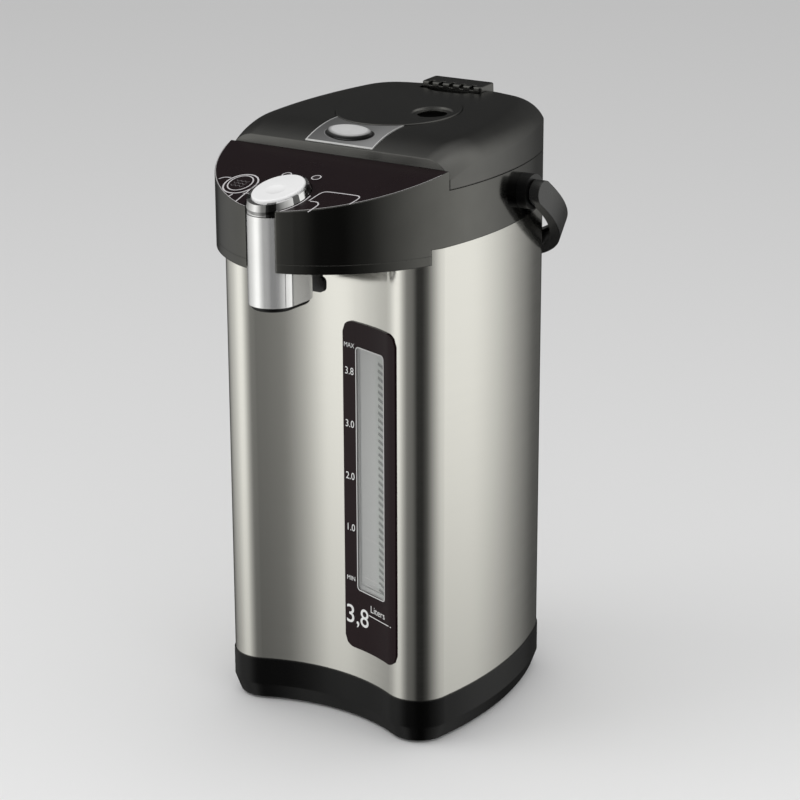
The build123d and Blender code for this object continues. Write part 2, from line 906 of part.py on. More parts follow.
with BuildPart() as collar:
    with BuildSketch(Plane.XY.offset(sleeve_top)):
        add(head_plan())
    extrude(amount=far)
    with BuildSketch(Plane.XY.offset(nose_seam)):
        add(head_plan())
        add(body_plan(pin_gap), mode=Mode.SUBTRACT)
    extrude(amount=sleeve_top - nose_seam)
    with BuildSketch(Plane.YZ):
        with BuildLine():
            Polyline((lid_line_y, lid_seat), (far, lid_seat), (far, 2 * far), (-far, 2 * far),
                     (-far, panel_z(-far)), (lid_line_y, panel_z(lid_line_y)), close=True)
        make_face()
    extrude(amount=far / 2, both=True, mode=Mode.SUBTRACT)
    nose_top = collar.faces().filter_by(panel_plane)
    chamfer(nose_top.edges().filter_by(GeomType.LINE, reverse=True), rim_chamfer)
    add(nose_slab(film_margin, -film_thickness, film_thickness, lid_line_y + seam_gap), mode=Mode.SUBTRACT)
    add(under_housing(), mode=Mode.SUBTRACT)
    # Lip inside the steel sleeve
    with BuildSketch(Plane.XY.offset(sleeve_top - lip_height)):
        add(body_plan(-sheet - pin_gap))
        add(body_plan(-sheet - pin_gap - lip_thickness), mode=Mode.SUBTRACT)
        with Locations((0, lip_start_y - far / 2)):
            Rectangle(far, far, mode=Mode.SUBTRACT)
    extrude(amount=lip_height + plastic_wall)
    # Opening for the deck of the mouth ring and the lip that it rests on
    with BuildSketch(Plane.XY.offset(deck_bottom - deck_lip)):
        add(deck_plan(-plastic_wall / 2))
        add(deck_plan(deck_lip), mode=Mode.SUBTRACT)
    extrude(amount=deck_lip)
    with BuildSketch(Plane.XY.offset(deck_bottom)):
        add(deck_plan(0))
    extrude(amount=far, mode=Mode.SUBTRACT)
    # Posts of the control board
    with BuildSketch(Plane.XY.offset(board_z + board_thickness)):
        with Locations(*post_places):
            Circle(board_post_radius)
    extrude(amount=panel_z(post_y) - film_thickness - plastic_wall / 2 - board_z - board_thickness)
    # Way through for the column and its ring, the lamps and the hinge of the lid
    with BuildSketch(Plane.XY.offset(nose_seam)):
        add(column_plan(slide_gap))
    extrude(amount=far, mode=Mode.SUBTRACT)
    with BuildSketch(panel_plane.offset(-ring_sink - slide_gap)):
        Ellipse(ring_half_width + slide_gap, ring_half_length + slide_gap)
    extrude(amount=far, mode=Mode.SUBTRACT)
    with BuildSketch(Plane.XY.offset(board_z)):
        with Locations(*lamp_places):
            Circle(lamp_radius + pin_gap)
    extrude(amount=far, mode=Mode.SUBTRACT)
    add(hinge_trough(), mode=Mode.SUBTRACT)
    # Lugs of the lid's hinge
    with BuildSketch(Plane.YZ.offset(lug_inner)):
        with Locations((hinge_y, hinge_z)):
            Circle(knuckle_radius)
        with Locations((hinge_y, (hinge_z + lid_seat - trough_depth) / 2)):
            Rectangle(2 * knuckle_radius, hinge_z - lid_seat + trough_depth)
        with Locations((hinge_y, hinge_z)):
            Circle(hinge_pin_radius + pin_gap, mode=Mode.SUBTRACT)
    hinge_lug = extrude(amount=lug_width)
    mirror(hinge_lug, about=Plane.YZ)
    with BuildSketch(Plane.YZ.offset(-body_half_width)):
        with Locations((pivot_y, pivot_z)):
            Circle(boss_spigot_radius)
    extrude(amount=2 * body_half_width, mode=Mode.SUBTRACT)

# Deck under the lid, with the mouth and the ledge that carries the pot
with BuildPart() as mouth_ring:
    with BuildSketch(Plane.XY.offset(deck_bottom)):
        add(deck_plan(pin_gap))
    extrude(amount=plastic_wall)
    with BuildSketch(Plane.XY.offset(ledge_top - ledge_thickness)):
        with Locations((0, pot_y)):
            Circle(mouth_radius + plastic_wall)
    extrude(amount=deck_bottom - ledge_top + ledge_thickness)
    with BuildSketch(Plane.XY.offset(ledge_top)):
        with Locations((0, pot_y)):
            Circle(mouth_radius)
    extrude(amount=far, mode=Mode.SUBTRACT)
    with BuildSketch(Plane.XY.offset(ledge_top - ledge_thickness)):
        with Locations((0, pot_y)):
            Circle(neck_radius + slide_gap)
    extrude(amount=ledge_thickness, mode=Mode.SUBTRACT)
    add(hinge_trough(), mode=Mode.SUBTRACT)

with BuildPart() as nose_cover:
    with BuildSketch(Plane.XY.offset(nose_bottom)):
        add(head_plan())
        add(body_plan(pin_gap), mode=Mode.SUBTRACT)
    extrude(amount=nose_seam - nose_bottom)
    with BuildSketch(Plane.XY.offset(nose_bottom + plastic_wall)):
        add(head_plan(-plastic_wall))
        add(body_plan(plastic_wall), mode=Mode.SUBTRACT)
    extrude(amount=nose_seam, mode=Mode.SUBTRACT)
    with BuildSketch(Plane.XY.offset(nose_bottom)):
        add(column_plan(slide_gap))
    extrude(amount=nose_seam, mode=Mode.SUBTRACT)
    # Brackets of the cup lever and the slot that it hangs through
    with BuildSketch(Plane.XY.offset(nose_bottom + plastic_wall / 2)):
        bracket_x = lever_width / 2 + slide_gap + bracket_thickness / 2
        with Locations((-bracket_x, lever_pivot_y), (bracket_x, lever_pivot_y)):
            Rectangle(bracket_thickness, bracket_depth)
    extrude(amount=lever_pivot_z + lever_head - nose_bottom - plastic_wall / 2)
    with BuildSketch(Plane.YZ.offset(-bracket_x - bracket_thickness)):
        with Locations((lever_pivot_y, lever_pivot_z)):
            Circle(lever_pin_radius + pin_gap)
    extrude(amount=2 * bracket_x + 2 * bracket_thickness, mode=Mode.SUBTRACT)
    with BuildSketch(Plane.XY.offset(nose_bottom)):
        with Locations((0, lever_pivot_y + lever_slot_shift)):
            Rectangle(lever_width + 2 * slide_gap, lever_slot_depth)
    extrude(amount=nose_seam - nose_bottom, mode=Mode.SUBTRACT)

with BuildPart() as control_panel:
    add(nose_slab(film_margin + pin_gap, 0, film_thickness - pin_gap, lid_line_y))
    with BuildSketch(panel_plane):
        Ellipse(ring_half_width + slide_gap, ring_half_length + slide_gap)
    extrude(amount=2 * film_thickness, both=True, mode=Mode.SUBTRACT)
    with BuildSketch(Plane.XY.offset(board_z)):
        with Locations(*lamp_places):
            Circle(lamp_radius + pin_gap)
    extrude(amount=far, mode=Mode.SUBTRACT)

with BuildPart() as indicator_lamps:
    with BuildSketch(Plane.XY.offset(board_z + board_thickness)):
        with Locations(*lamp_places):
            Circle(lamp_radius)
    extrude(amount=far)
    with BuildSketch(Plane.YZ):
        with BuildLine():
            Polyline((far, panel_z(far) + lamp_proud), (-far, panel_z(-far) + lamp_proud),
                     (-far, 3 * far), (far, 3 * far), close=True)
        make_face()
    extrude(amount=far / 2, both=True, mode=Mode.SUBTRACT)

with BuildPart() as control_board:
    with BuildSketch(Plane.XY.offset(board_z)):
        with Locations((0, (board_front_y + board_rear_y) / 2)):
            Rectangle(2 * board_half_width, board_rear_y - board_front_y)
    extrude(amount=board_thickness)
    with BuildSketch(Plane.XY.offset(board_z)):
        with Locations(*chip_places):
            Rectangle(chip_side, chip_side)
        with Locations(buzzer_place):
            Circle(buzzer_radius)
    extrude(amount=-chip_height)

with BuildPart() as lever_switch:
    switch_rear = lever_pivot_y - lever_thickness / 2 - switch_gap
    with BuildSketch(Plane.XY.offset(board_z)):
        with Locations((0, switch_rear - switch_depth / 2)):
            Rectangle(switch_width, switch_depth)
    extrude(amount=-switch_height)

with BuildPart() as cup_lever:
    with BuildSketch(Plane.YZ.offset(-lever_width / 2)):
        with Locations((lever_pivot_y, (lever_bottom + lever_pivot_z + lever_head) / 2)):
            Rectangle(lever_thickness, lever_pivot_z + lever_head - lever_bottom)
        with Locations((lever_pivot_y, lever_pivot_z)):
            Circle(2 * lever_pin_radius)
    extrude(amount=lever_width)
    with BuildSketch(Plane.XZ.offset(-lever_pivot_y - lever_thickness / 2)):
        with Locations((0, lever_bottom + lever_pad_height / 2)):
            RectangleRounded(lever_pad_width, lever_pad_height, lever_pad_corner)
    extrude(amount=lever_thickness)
    with BuildSketch(Plane.YZ.offset(-lever_width / 2)):
        with Locations((lever_pivot_y, lever_pivot_z)):
            Circle(lever_pin_radius + pin_gap)
    extrude(amount=lever_width, mode=Mode.SUBTRACT)

with BuildPart() as lever_pin:
    pin_half = lever_width / 2 + slide_gap + bracket_thickness
    with BuildSketch(Plane.YZ.offset(-pin_half)):
        with Locations((lever_pivot_y, lever_pivot_z)):
            Circle(lever_pin_radius)
    extrude(amount=2 * pin_half)


# ---------------------------------------------------------------- pouring column
def column_shell(rear):
    """Front or rear half of the column's shell."""
    with BuildPart() as shell:
        with BuildSketch(Plane.XY.offset(column_bottom)):
            add(column_plan())
            add(column_plan(-column_wall), mode=Mode.SUBTRACT)
            side = 1 if rear else -1
            with Locations((0, column_split_y - side * (far / 2 - seam_gap / 2))):
                Rectangle(far, far, mode=Mode.SUBTRACT)
        extrude(amount=column_top - column_bottom)
    return shell.part


with BuildPart() as column_front:
    add(column_shell(rear=False))

with BuildPart() as column_rear:
    add(column_shell(rear=True))
    with BuildSketch(Plane.YZ):
        with Locations((column_rear_y, delivery_z)):
            Circle(tube_radius + pin_gap)
    extrude(amount=2 * column_radius, mode=Mode.SUBTRACT)

with BuildPart() as nozzle:
    with BuildSketch(Plane.XY.offset(column_bottom - nozzle_drop)):
        add(column_plan(-column_wall - pin_gap))
    extrude(amount=nozzle_height)
    fillet(nozzle.edges().group_by(Axis.Z)[0], nozzle_edge_radius)
    with BuildSketch(Plane.XY.offset(column_bottom)):
        with Locations((0, column_rear_y)):
            Circle(nozzle_tube_radius)
    extrude(amount=nozzle_tube_top - column_bottom)
    with BuildSketch(Plane.YZ):
        with Locations((column_rear_y, delivery_z)):
            Circle(tube_radius)
    extrude(amount=nozzle_spigot)
    with BuildSketch(Plane.YZ):
        with Locations((column_rear_y, delivery_z)):
            Circle(tube_bore)
    extrude(amount=nozzle_spigot, mode=Mode.SUBTRACT)
    with BuildSketch(Plane.XY.offset(column_bottom - nozzle_drop)):
        with Locations((0, column_rear_y)):
            Circle(nozzle_tube_bore)
    extrude(amount=nozzle_tube_top - nozzle_wall - column_bottom + nozzle_drop, mode=Mode.SUBTRACT)

ring_floor = column_top + seam_gap


def cap_slab(grow, low, high):
    """Upright prism of the cap's outline between two heights over the panel."""
    with BuildPart() as slab:
        with BuildSketch():
            with Locations((0, column_y)):
                Ellipse(cap_half_width + grow, cap_half_length * cos(radians(panel_angle)) + grow)
        extrude(amount=far)
        with BuildSketch(Plane.YZ):
            with BuildLine():
                Polyline((0, panel_z(0) + low), (-far, panel_z(-far) + low),
                         (-far, panel_z(-far) + high), (0, panel_z(0) + high), close=True)
            make_face()
        extrude(amount=far / 2, both=True, mode=Mode.INTERSECT)
    return slab.part


with BuildPart() as cap_ring:
    with BuildSketch(Plane.XY.offset(ring_floor)):
        add(column_plan())
    extrude(amount=far)
    with BuildSketch(Plane.YZ):
        with BuildLine():
            Polyline((far, panel_z(far) - ring_foot_drop), (-far, panel_z(-far) - ring_foot_drop),
                     (-far, 3 * far), (far, 3 * far), close=True)
        make_face()
    extrude(amount=far / 2, both=True, mode=Mode.SUBTRACT)
    with BuildSketch(panel_plane.offset(-ring_sink)):
        Ellipse(ring_half_width, ring_half_length)
    extrude(amount=ring_sink)
    with BuildSketch(panel_plane):
        Ellipse(ring_half_width, ring_half_length)
    extrude(amount=ring_rise, taper=ring_taper)
    # Well of the cap, with a floor for its spring
    add(cap_slab(slide_gap, seam_gap - ring_sink, ring_sink + 2 * cap_rise), mode=Mode.SUBTRACT)
    with BuildSketch(Plane.XY.offset(ring_floor + ring_seat_floor)):
        with Locations((0, column_y)):
            Circle(ring_seat_radius)
    extrude(amount=far, mode=Mode.SUBTRACT)
    with BuildSketch(Plane.XY.offset(ring_floor)):
        with Locations((0, column_y)):
            Circle(cap_stem_radius + pin_gap)
    extrude(amount=ring_seat_floor, mode=Mode.SUBTRACT)

with BuildPart() as pour_cap:
    add(cap_slab(0, cap_rise - cap_thickness, cap_rise))
    fillet(pour_cap.edges().sort_by(Axis((0, column_y, 0), tuple(panel_plane.z_dir)))[-1:], cap_edge_radius)
    with Locations(panel_plane.offset(cap_rise - cap_dimple_depth + cap_dimple_radius)):
        with Locations((0, cap_dimple_shift, 0)):
            Sphere(cap_dimple_radius, mode=Mode.SUBTRACT)
    with BuildSketch(Plane.XY.offset(cap_stem_bottom)):
        with Locations((0, column_y)):
            Circle(cap_stem_radius)
    extrude(amount=panel_z(column_y) + cap_rise - cap_thickness / 2 - cap_stem_bottom)

with BuildPart() as cap_spring:
    spring_bottom = ring_floor + ring_seat_floor + spring_wire / 2 + pin_gap
    spring = coil(spring_radius, spring_wire, spring_height, spring_turns)
    add(spring.moved(Location((0, column_y, spring_bottom))))

with BuildPart() as cap_switch:
    with BuildSketch(Plane.XY.offset(ring_floor)):
        with Locations((0, column_y + cap_stem_radius + slide_gap + switch_depth / 2)):
            Rectangle(switch_width, switch_depth)
    extrude(amount=-switch_height)


# ---------------------------------------------------------------- lid
lid_bottom = lid_seat + lid_lift
lid_front_y = lid_line_y + seam_gap
steam_plane = roof_plane(steam_cap_y)
steam_seat = steam_cap_thickness - steam_cap_proud
release_y = (release_front_y + release_rear_y) / 2
release_plane = roof_plane(release_y)
release_length = release_rear_y - release_front_y


def lid_form(inset):
    """Solid form under the lid's domed top, inset from its faces."""
    with BuildPart() as form:
        with BuildSketch(Plane.XY.offset(lid_seat - lid_edge_radius)):
            add(head_plan(lid_edge_overrun - inset))
            with Locations((0, lid_front_y - lid_front_overrun - far / 2)):
                Rectangle(far, far, mode=Mode.SUBTRACT)
        extrude(amount=far)
        with BuildSketch(Plane.YZ):
            add(below_roof(inset))
        extrude(amount=far / 2, both=True, mode=Mode.INTERSECT)
        upper = form.faces().filter_by(lambda face: face.normal_at().Z > 0.5)
        rim = upper.edges().filter_by(Axis.X, reverse=True)
        fillet(rim, lid_edge_radius - inset)
        with BuildSketch(Plane.XY.offset(lid_bottom)):
            add(head_plan(-inset))
            with Locations((0, lid_front_y + inset - far / 2)):
                Rectangle(far, far, mode=Mode.SUBTRACT)
        extrude(amount=far, mode=Mode.INTERSECT)
    return form.part


def roof_slab(plan, top_drop, bottom_drop):
    """Prism of the plan between two surfaces that follow the lid's top."""
    with BuildPart() as slab:
        with BuildSketch(Plane.XY.offset(lid_bottom)):
            add(plan)
        extrude(amount=far)
        with BuildSketch(Plane.YZ):
            add(below_roof(top_drop))
            add(below_roof(bottom_drop), mode=Mode.SUBTRACT)
        extrude(amount=far / 2, both=True, mode=Mode.INTERSECT)
    return slab.part


def latch_plan(grow=0.0):
    """Outline of the latch plate: its rear edge follows the steam cap."""
    with BuildSketch() as outline:
        with Locations((0, (latch_front_y + latch_rear_y) / 2)):
            Rectangle(2 * (latch_half_width + grow), latch_rear_y - latch_front_y + 2 * grow)
        with Locations((0, steam_cap_y)):
            Circle(steam_cap_radius + slide_gap - grow, mode=Mode.SUBTRACT)
    return outline.sketch


def lid_pockets():
    """Floors and walls of the pockets for the latch and the release lever."""
    with BuildPart() as pockets:
        add(roof_slab(latch_plan(slide_gap + pocket_wall), 0, latch_pocket_depth + pocket_wall))
        with BuildSketch(release_plane.offset(-release_sink - pocket_wall)):
            with Locations((0, -release_travel / 2)):
                Rectangle(2 * (release_half_width + slide_gap + pocket_wall),
                          release_length + release_travel + 2 * (slide_gap + pocket_wall))
        extrude(amount=release_sink + pocket_wall)
        with BuildSketch(steam_plane.offset(-steam_seat - steam_floor)):
            Circle(steam_cap_radius + slide_gap + pocket_wall)
        extrude(amount=steam_floor)
        add(lid_form(0), mode=Mode.INTERSECT)
    return pockets.part


with BuildPart() as lid_shell:
    add(lid_form(0))
    add(lid_form(plastic_wall), mode=Mode.SUBTRACT)
    add(lid_pockets())
    # Round seat of the steam cap and the way for its insert
    with BuildSketch(steam_plane.offset(-steam_seat)):
        Circle(steam_cap_radius + slide_gap)
    extrude(amount=steam_cap_radius, mode=Mode.SUBTRACT)
    with BuildSketch(steam_plane):
        with Locations((steam_hole_x, steam_hole_y - steam_cap_y)):
            Circle(insert_radius + pin_gap)
    extrude(amount=-steam_seat - 2 * steam_floor, mode=Mode.SUBTRACT)
    # Pockets of the latch and its hook
    add(roof_slab(latch_plan(slide_gap), -latch_thickness, latch_pocket_depth), mode=Mode.SUBTRACT)
    with BuildSketch(Plane.YZ):
        with Locations((latch_pivot_y, latch_pivot_z)):
            Circle(latch_pin_radius + pin_gap)
    extrude(amount=latch_half_width + slide_gap + pocket_wall, both=True, mode=Mode.SUBTRACT)
    hook_room = 2 * (hook_half_width + slide_gap)
    with BuildSketch(Plane.XY.offset(hook_bottom - hook_drop)):
        with Locations((0, lid_front_y)):
            Rectangle(hook_room, 2 * (hook_tongue_y - lid_front_y))
    extrude(amount=hook_drop + hook_nose_height + slide_gap, mode=Mode.SUBTRACT)
    with BuildSketch(Plane.XY.offset(hook_bottom - hook_drop)):
        with Locations((0, hook_tongue_y + hook_thickness / 2)):
            Rectangle(hook_room, hook_thickness + 2 * hook_recoil)
    extrude(amount=shoulder_z(hook_tongue_y) - hook_bottom, mode=Mode.SUBTRACT)
    # Pocket of the release lever and the finger scoop in front of it
    with BuildSketch(release_plane.offset(-release_sink)):
        with Locations((0, -release_travel / 2)):
            Rectangle(2 * (release_half_width + slide_gap), release_length + release_travel + 2 * slide_gap)
    extrude(amount=far, mode=Mode.SUBTRACT)
    with BuildSketch(release_plane):
        with Locations((0, -release_length / 2 - release_travel)):
            Ellipse(scoop_half_width, scoop_half_length)
    extrude(amount=-scoop_depth, mode=Mode.SUBTRACT)
    # Barrels of the hinge, with room for the lugs of the collar
    with BuildSketch(Plane.YZ):
        with Locations((hinge_y, hinge_z)):
            Circle(knuckle_radius)
    extrude(amount=barrel_end, both=True)
    lug_middle = lug_inner + lug_width / 2
    lug_front_y = hinge_y - knuckle_radius - lug_room
    with Locations((-lug_middle, lug_front_y, hinge_z), (lug_middle, lug_front_y, hinge_z)):
        Box(lug_width + 2 * slide_gap, far, 2 * (knuckle_radius + lug_room),
            align=(Align.CENTER, Align.MIN, Align.CENTER), mode=Mode.SUBTRACT)
    with BuildSketch(Plane.YZ):
        with Locations((hinge_y, hinge_z)):
            Circle(hinge_pin_radius + pin_gap)
    extrude(amount=barrel_end, both=True, mode=Mode.SUBTRACT)

with BuildPart() as lid_inner_cover:
    inner_cover_inset = plastic_wall + pin_gap
    with BuildSketch(Plane.XY.offset(lid_bottom)):
        add(head_plan(-inner_cover_inset))
        with Locations((0, lid_front_y + inner_cover_inset - far / 2), (0, inner_cover_rear_y + far / 2)):
            Rectangle(far, far, mode=Mode.SUBTRACT)
    extrude(amount=inner_cover_thickness)
    with BuildSketch(Plane.XY.offset(plug_bottom)):
        with Locations((0, pot_y)):
            Circle(plug_radius)
    extrude(amount=lid_bottom - plug_bottom)
    with BuildSketch(Plane.XY.offset(plug_bottom + plug_wall)):
        with Locations((0, pot_y)):
            Circle(plug_radius - plug_wall)
    extrude(amount=lid_seat, mode=Mode.SUBTRACT)
    with BuildSketch(Plane.XY.offset(plug_bottom)):
        with Locations((steam_hole_x, steam_hole_y)):
            with PolarLocations(vent_circle, vent_count):
                Circle(vent_radius)
    extrude(amount=plug_wall, mode=Mode.SUBTRACT)

with BuildPart() as lid_gasket:
    with BuildSketch(Plane.XY.offset(flange_top + gasket_gap)):
        with Locations((0, pot_y)):
            Circle(gasket_radius)
            Circle(gasket_bore, mode=Mode.SUBTRACT)
    extrude(amount=plug_bottom - flange_top - gasket_gap)

with BuildPart() as steam_cap:
    with BuildSketch(steam_plane.offset(-steam_seat)):
        Circle(steam_cap_radius)
    extrude(amount=steam_cap_thickness)
    chamfer(steam_cap.edges().sort_by(Axis.Z)[-1:], steam_cap_edge)
    with BuildSketch(steam_plane.offset(-steam_seat)):
        with Locations((steam_hole_x, steam_hole_y - steam_cap_y)):
            Circle(steam_hole_radius)
    extrude(amount=steam_cap_thickness, mode=Mode.SUBTRACT)
    with BuildSketch(steam_plane.offset(steam_cap_proud)):
        with Locations((steam_hole_x, steam_hole_y - steam_cap_y)):
            Circle(steam_recess_radius)
    extrude(amount=-steam_recess_depth, taper=steam_recess_taper, mode=Mode.SUBTRACT)

with BuildPart() as steam_insert:
    with BuildSketch(steam_plane.offset(-steam_seat)):
        with Locations((steam_hole_x, steam_hole_y - steam_cap_y)):
            Circle(insert_radius)
    extrude(amount=-insert_depth)
    with BuildSketch(steam_plane.offset(-steam_seat)):
        with Locations((steam_hole_x, steam_hole_y - steam_cap_y)):
            Circle(insert_radius - insert_wall)
    extrude(amount=-insert_depth + insert_wall, mode=Mode.SUBTRACT)
    with BuildSketch(steam_plane.offset(-steam_seat)):
        with Locations((steam_hole_x, steam_hole_y - steam_cap_y)):
            with PolarLocations(insert_radius / 2, vent_count):
                Circle(vent_radius)
    extrude(amount=-insert_depth, mode=Mode.SUBTRACT)

shoulder_lean = (bump_y - shoulder_centre.X) / front_shoulder_radius
bump_plane = Plane(origin=(0, bump_y, shoulder_z(bump_y) + latch_proud), x_dir=(1, 0, 0),
                   z_dir=(0, shoulder_lean, sqrt(1 - shoulder_lean ** 2)))

with BuildPart() as lid_latch:
    add(roof_slab(latch_plan(), -latch_proud, latch_thickness - latch_proud))
    with BuildSketch(bump_plane.offset(-latch_thickness / 2)):
        Ellipse(bump_half_width, bump_half_length)
    extrude(amount=bump_height + latch_thickness / 2)
    crown = lid_latch.faces().sort_by(Axis(bump_plane.origin, bump_plane.z_dir))[-1]
    fillet(crown.edges(), bump_edge_radius)
    with BuildSketch(Plane.YZ.offset(latch_barrel_inner)):
        with Locations((latch_pivot_y, latch_pivot_z)):
            Circle(latch_barrel_radius)
    latch_barrel = extrude(amount=latch_barrel_length)
    mirror(latch_barrel, about=Plane.YZ)
    hook_root_z = shoulder_z(hook_tongue_y) - latch_thickness / 2
    hook_nose_z = hook_bottom + hook_nose_height
    hook_rear_y = hook_tongue_y + hook_thickness
    with BuildSketch(Plane.YZ.offset(-hook_half_width)):
        with BuildLine():
            Polyline((hook_tongue_y, hook_root_z), (hook_tongue_y, hook_nose_z), (hook_front_y, hook_nose_z),
                     (hook_front_y, hook_bottom + hook_chamfer), (hook_front_y + hook_chamfer, hook_bottom),
                     (hook_rear_y, hook_bottom), (hook_rear_y, hook_root_z), close=True)
        make_face()
    extrude(amount=2 * hook_half_width)
    with BuildSketch(Plane.YZ):
        with Locations((latch_pivot_y, latch_pivot_z)):
            Circle(latch_pin_radius + pin_gap)
    extrude(amount=latch_half_width, both=True, mode=Mode.SUBTRACT)

with BuildPart() as latch_pins:
    with BuildSketch(Plane.YZ.offset(latch_barrel_inner)):
        with Locations((latch_pivot_y, latch_pivot_z)):
            Circle(latch_pin_radius)
    latch_pin = extrude(amount=latch_half_width + slide_gap + pocket_wall - latch_barrel_inner)
    mirror(latch_pin, about=Plane.YZ)

with BuildPart() as lid_release:
    with BuildSketch(release_plane.offset(-release_sink)):
        RectangleRounded(2 * release_half_width, release_length, release_corner)
    extrude(amount=release_sink + release_rise)
    upper_edges = lid_release.faces().sort_by(Axis.Z)[-1].edges()
    fillet(upper_edges, release_corner / 2)
    with BuildSketch(release_plane.offset(release_rise)):
        with Locations((0, -release_length / 2)):
            with GridLocations(rib_pitch, 1, rib_gaps, 1):
                Rectangle(rib_gap, 2 * rib_length)
    extrude(amount=-rib_depth, mode=Mode.SUBTRACT)

with BuildPart() as hinge_pin:
    with BuildSketch(Plane.YZ):
        with Locations((hinge_y, hinge_z)):
            Circle(hinge_pin_radius)
    extrude(amount=barrel_end, both=True)


# ---------------------------------------------------------------- carrying handle
handle_tilt = radians(handle_hang)
pivot = (0, pivot_y, pivot_z)
bail_plane = Plane(origin=pivot, x_dir=(1, 0, 0), z_dir=(0, sin(handle_tilt), cos(handle_tilt)))
arm_plane = Plane(origin=pivot, x_dir=(0, cos(handle_tilt), -sin(handle_tilt)), z_dir=(1, 0, 0))
boss_face_x = body_half_width + boss_height
boss_spigot_start = body_half_width - boss_spigot_depth
handle_half_width = boss_face_x + boss_gap
handle_outer_half = handle_half_width + handle_thickness
handle_pin_end = handle_half_width + handle_pin_reach
handle_length = (back_y + grip_clearance + handle_band / 2 * sin(handle_tilt) - pivot_y) / cos(handle_tilt)


def bail_plan(half_width, length):
    """Straight arms past the pivots, joined by half an ellipse."""
    with BuildSketch() as outline:
        with Locations((0, arm_straight)):
            Ellipse(half_width, length - arm_straight)
        with Locations((0, arm_straight - length / 2)):
            Rectangle(2 * half_width, length, mode=Mode.SUBTRACT)
        with Locations((0, arm_straight / 2 - handle_band / 4)):
            Rectangle(2 * half_width, arm_straight + handle_band / 2)
    return outline.sketch


def grip_channel():
    """Hollow inside the grip's bend, in bays between ribs that run along the arms."""
    with BuildPart() as channel:
        with BuildSketch(bail_plane.offset(channel_wall - handle_band / 2)):
            add(bail_plan(handle_half_width + channel_depth, handle_length + channel_depth))
            with Locations((0, channel_start - far / 2)):
                Rectangle(far, far, mode=Mode.SUBTRACT)
            with GridLocations(channel_rib_pitch, 1, channel_ribs, 1):
                Rectangle(channel_rib, far, mode=Mode.SUBTRACT)
        extrude(amount=handle_band - 2 * channel_wall)
    return channel.part


with BuildPart() as carry_handle:
    with BuildSketch(bail_plane.offset(-handle_band / 2)):
        add(bail_plan(handle_outer_half, handle_length + handle_thickness))
        add(bail_plan(handle_half_width, handle_length), mode=Mode.SUBTRACT)
    extrude(amount=handle_band)
    with BuildSketch(arm_plane):
        Circle(handle_band / 2)
        with Locations((far / 2, 0)):
            Rectangle(far, handle_band)
    extrude(amount=handle_outer_half, both=True, mode=Mode.INTERSECT)
    with BuildSketch(arm_plane):
        Circle(handle_pin_radius + pin_gap)
    extrude(amount=handle_pin_end + seam_gap, both=True, mode=Mode.SUBTRACT)
    add(grip_channel(), mode=Mode.SUBTRACT)

with BuildPart() as handle_bosses:
    with BuildSketch(arm_plane):
        Circle(boss_radius)
    extrude(amount=boss_face_x, both=True)
    with BuildSketch(Plane.XY.offset(lid_seat - far)):
        add(head_plan(pin_gap))
    extrude(amount=2 * far, mode=Mode.SUBTRACT)
    with BuildSketch(arm_plane.offset(boss_spigot_start)):
        Circle(boss_spigot_radius - pin_gap)
    spigot = extrude(amount=boss_face_x - boss_spigot_start)
    mirror(spigot, about=Plane.YZ)
    with BuildSketch(arm_plane):
        Circle(handle_pin_radius + pin_gap)
    extrude(amount=boss_face_x, both=True, mode=Mode.SUBTRACT)

with BuildPart() as handle_pins:
    with BuildSketch(arm_plane.offset(boss_spigot_start)):
        Circle(pin_head_radius)
    head = extrude(amount=-pin_head_height)
    with BuildSketch(arm_plane.offset(boss_spigot_start)):
        Circle(handle_pin_radius)
    shank = extrude(amount=handle_pin_end - boss_spigot_start)
    mirror(head, about=Plane.YZ)
    mirror(shank, about=Plane.YZ)


os.makedirs("parts", exist_ok=True)
pieces = {
    "base_shell": base_shell,
    "bottom_cover": bottom_cover,
    "rubber_feet": rubber_feet,
    "cover_screws": cover_screws,
    "power_inlet": power_inlet,
    "inlet_contacts": inlet_contacts,
    "outer_sleeve": outer_sleeve,
    "window_plate": window_plate,
    "window_glass": window_glass,
    "inner_pot": inner_pot,
    "pot_neck": pot_neck,
    "flange_gasket": flange_gasket,
    "band_heater": band_heater,
    "thermostat": thermostat,
    "pump_motor": pump_motor,
    "pump_housing": pump_housing,
    "pump_impeller": pump_impeller,
    "suction_hose": suction_hose,
    "lower_elbow": lower_elbow,
    "level_tube": level_tube,
    "delivery_tube": delivery_tube,
    "collar": collar,
    "mouth_ring": mouth_ring,
    "nose_cover": nose_cover,
    "control_panel": control_panel,
    "indicator_lamps": indicator_lamps,
    "control_board": control_board,
    "lever_switch": lever_switch,
    "cup_lever": cup_lever,
    "lever_pin": lever_pin,
    "column_front": column_front,
    "column_rear": column_rear,
    "nozzle": nozzle,
    "cap_ring": cap_ring,
    "pour_cap": pour_cap,
    "cap_spring": cap_spring,
    "cap_switch": cap_switch,
    "lid_shell": lid_shell,
    "lid_inner_cover": lid_inner_cover,
    "lid_gasket": lid_gasket,
    "steam_cap": steam_cap,
    "steam_insert": steam_insert,
    "lid_latch": lid_latch,
    "latch_pins": latch_pins,
    "lid_release": lid_release,
    "hinge_pin": hinge_pin,
    "carry_handle": carry_handle,
    "handle_bosses": handle_bosses,
    "handle_pins": handle_pins,
}
for name, piece in pieces.items():
    piece.part.label = name
    export_step(piece.part, f"parts/{name}.step")
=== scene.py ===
import math

import bmesh
import bpy
from mathutils import Matrix, Vector


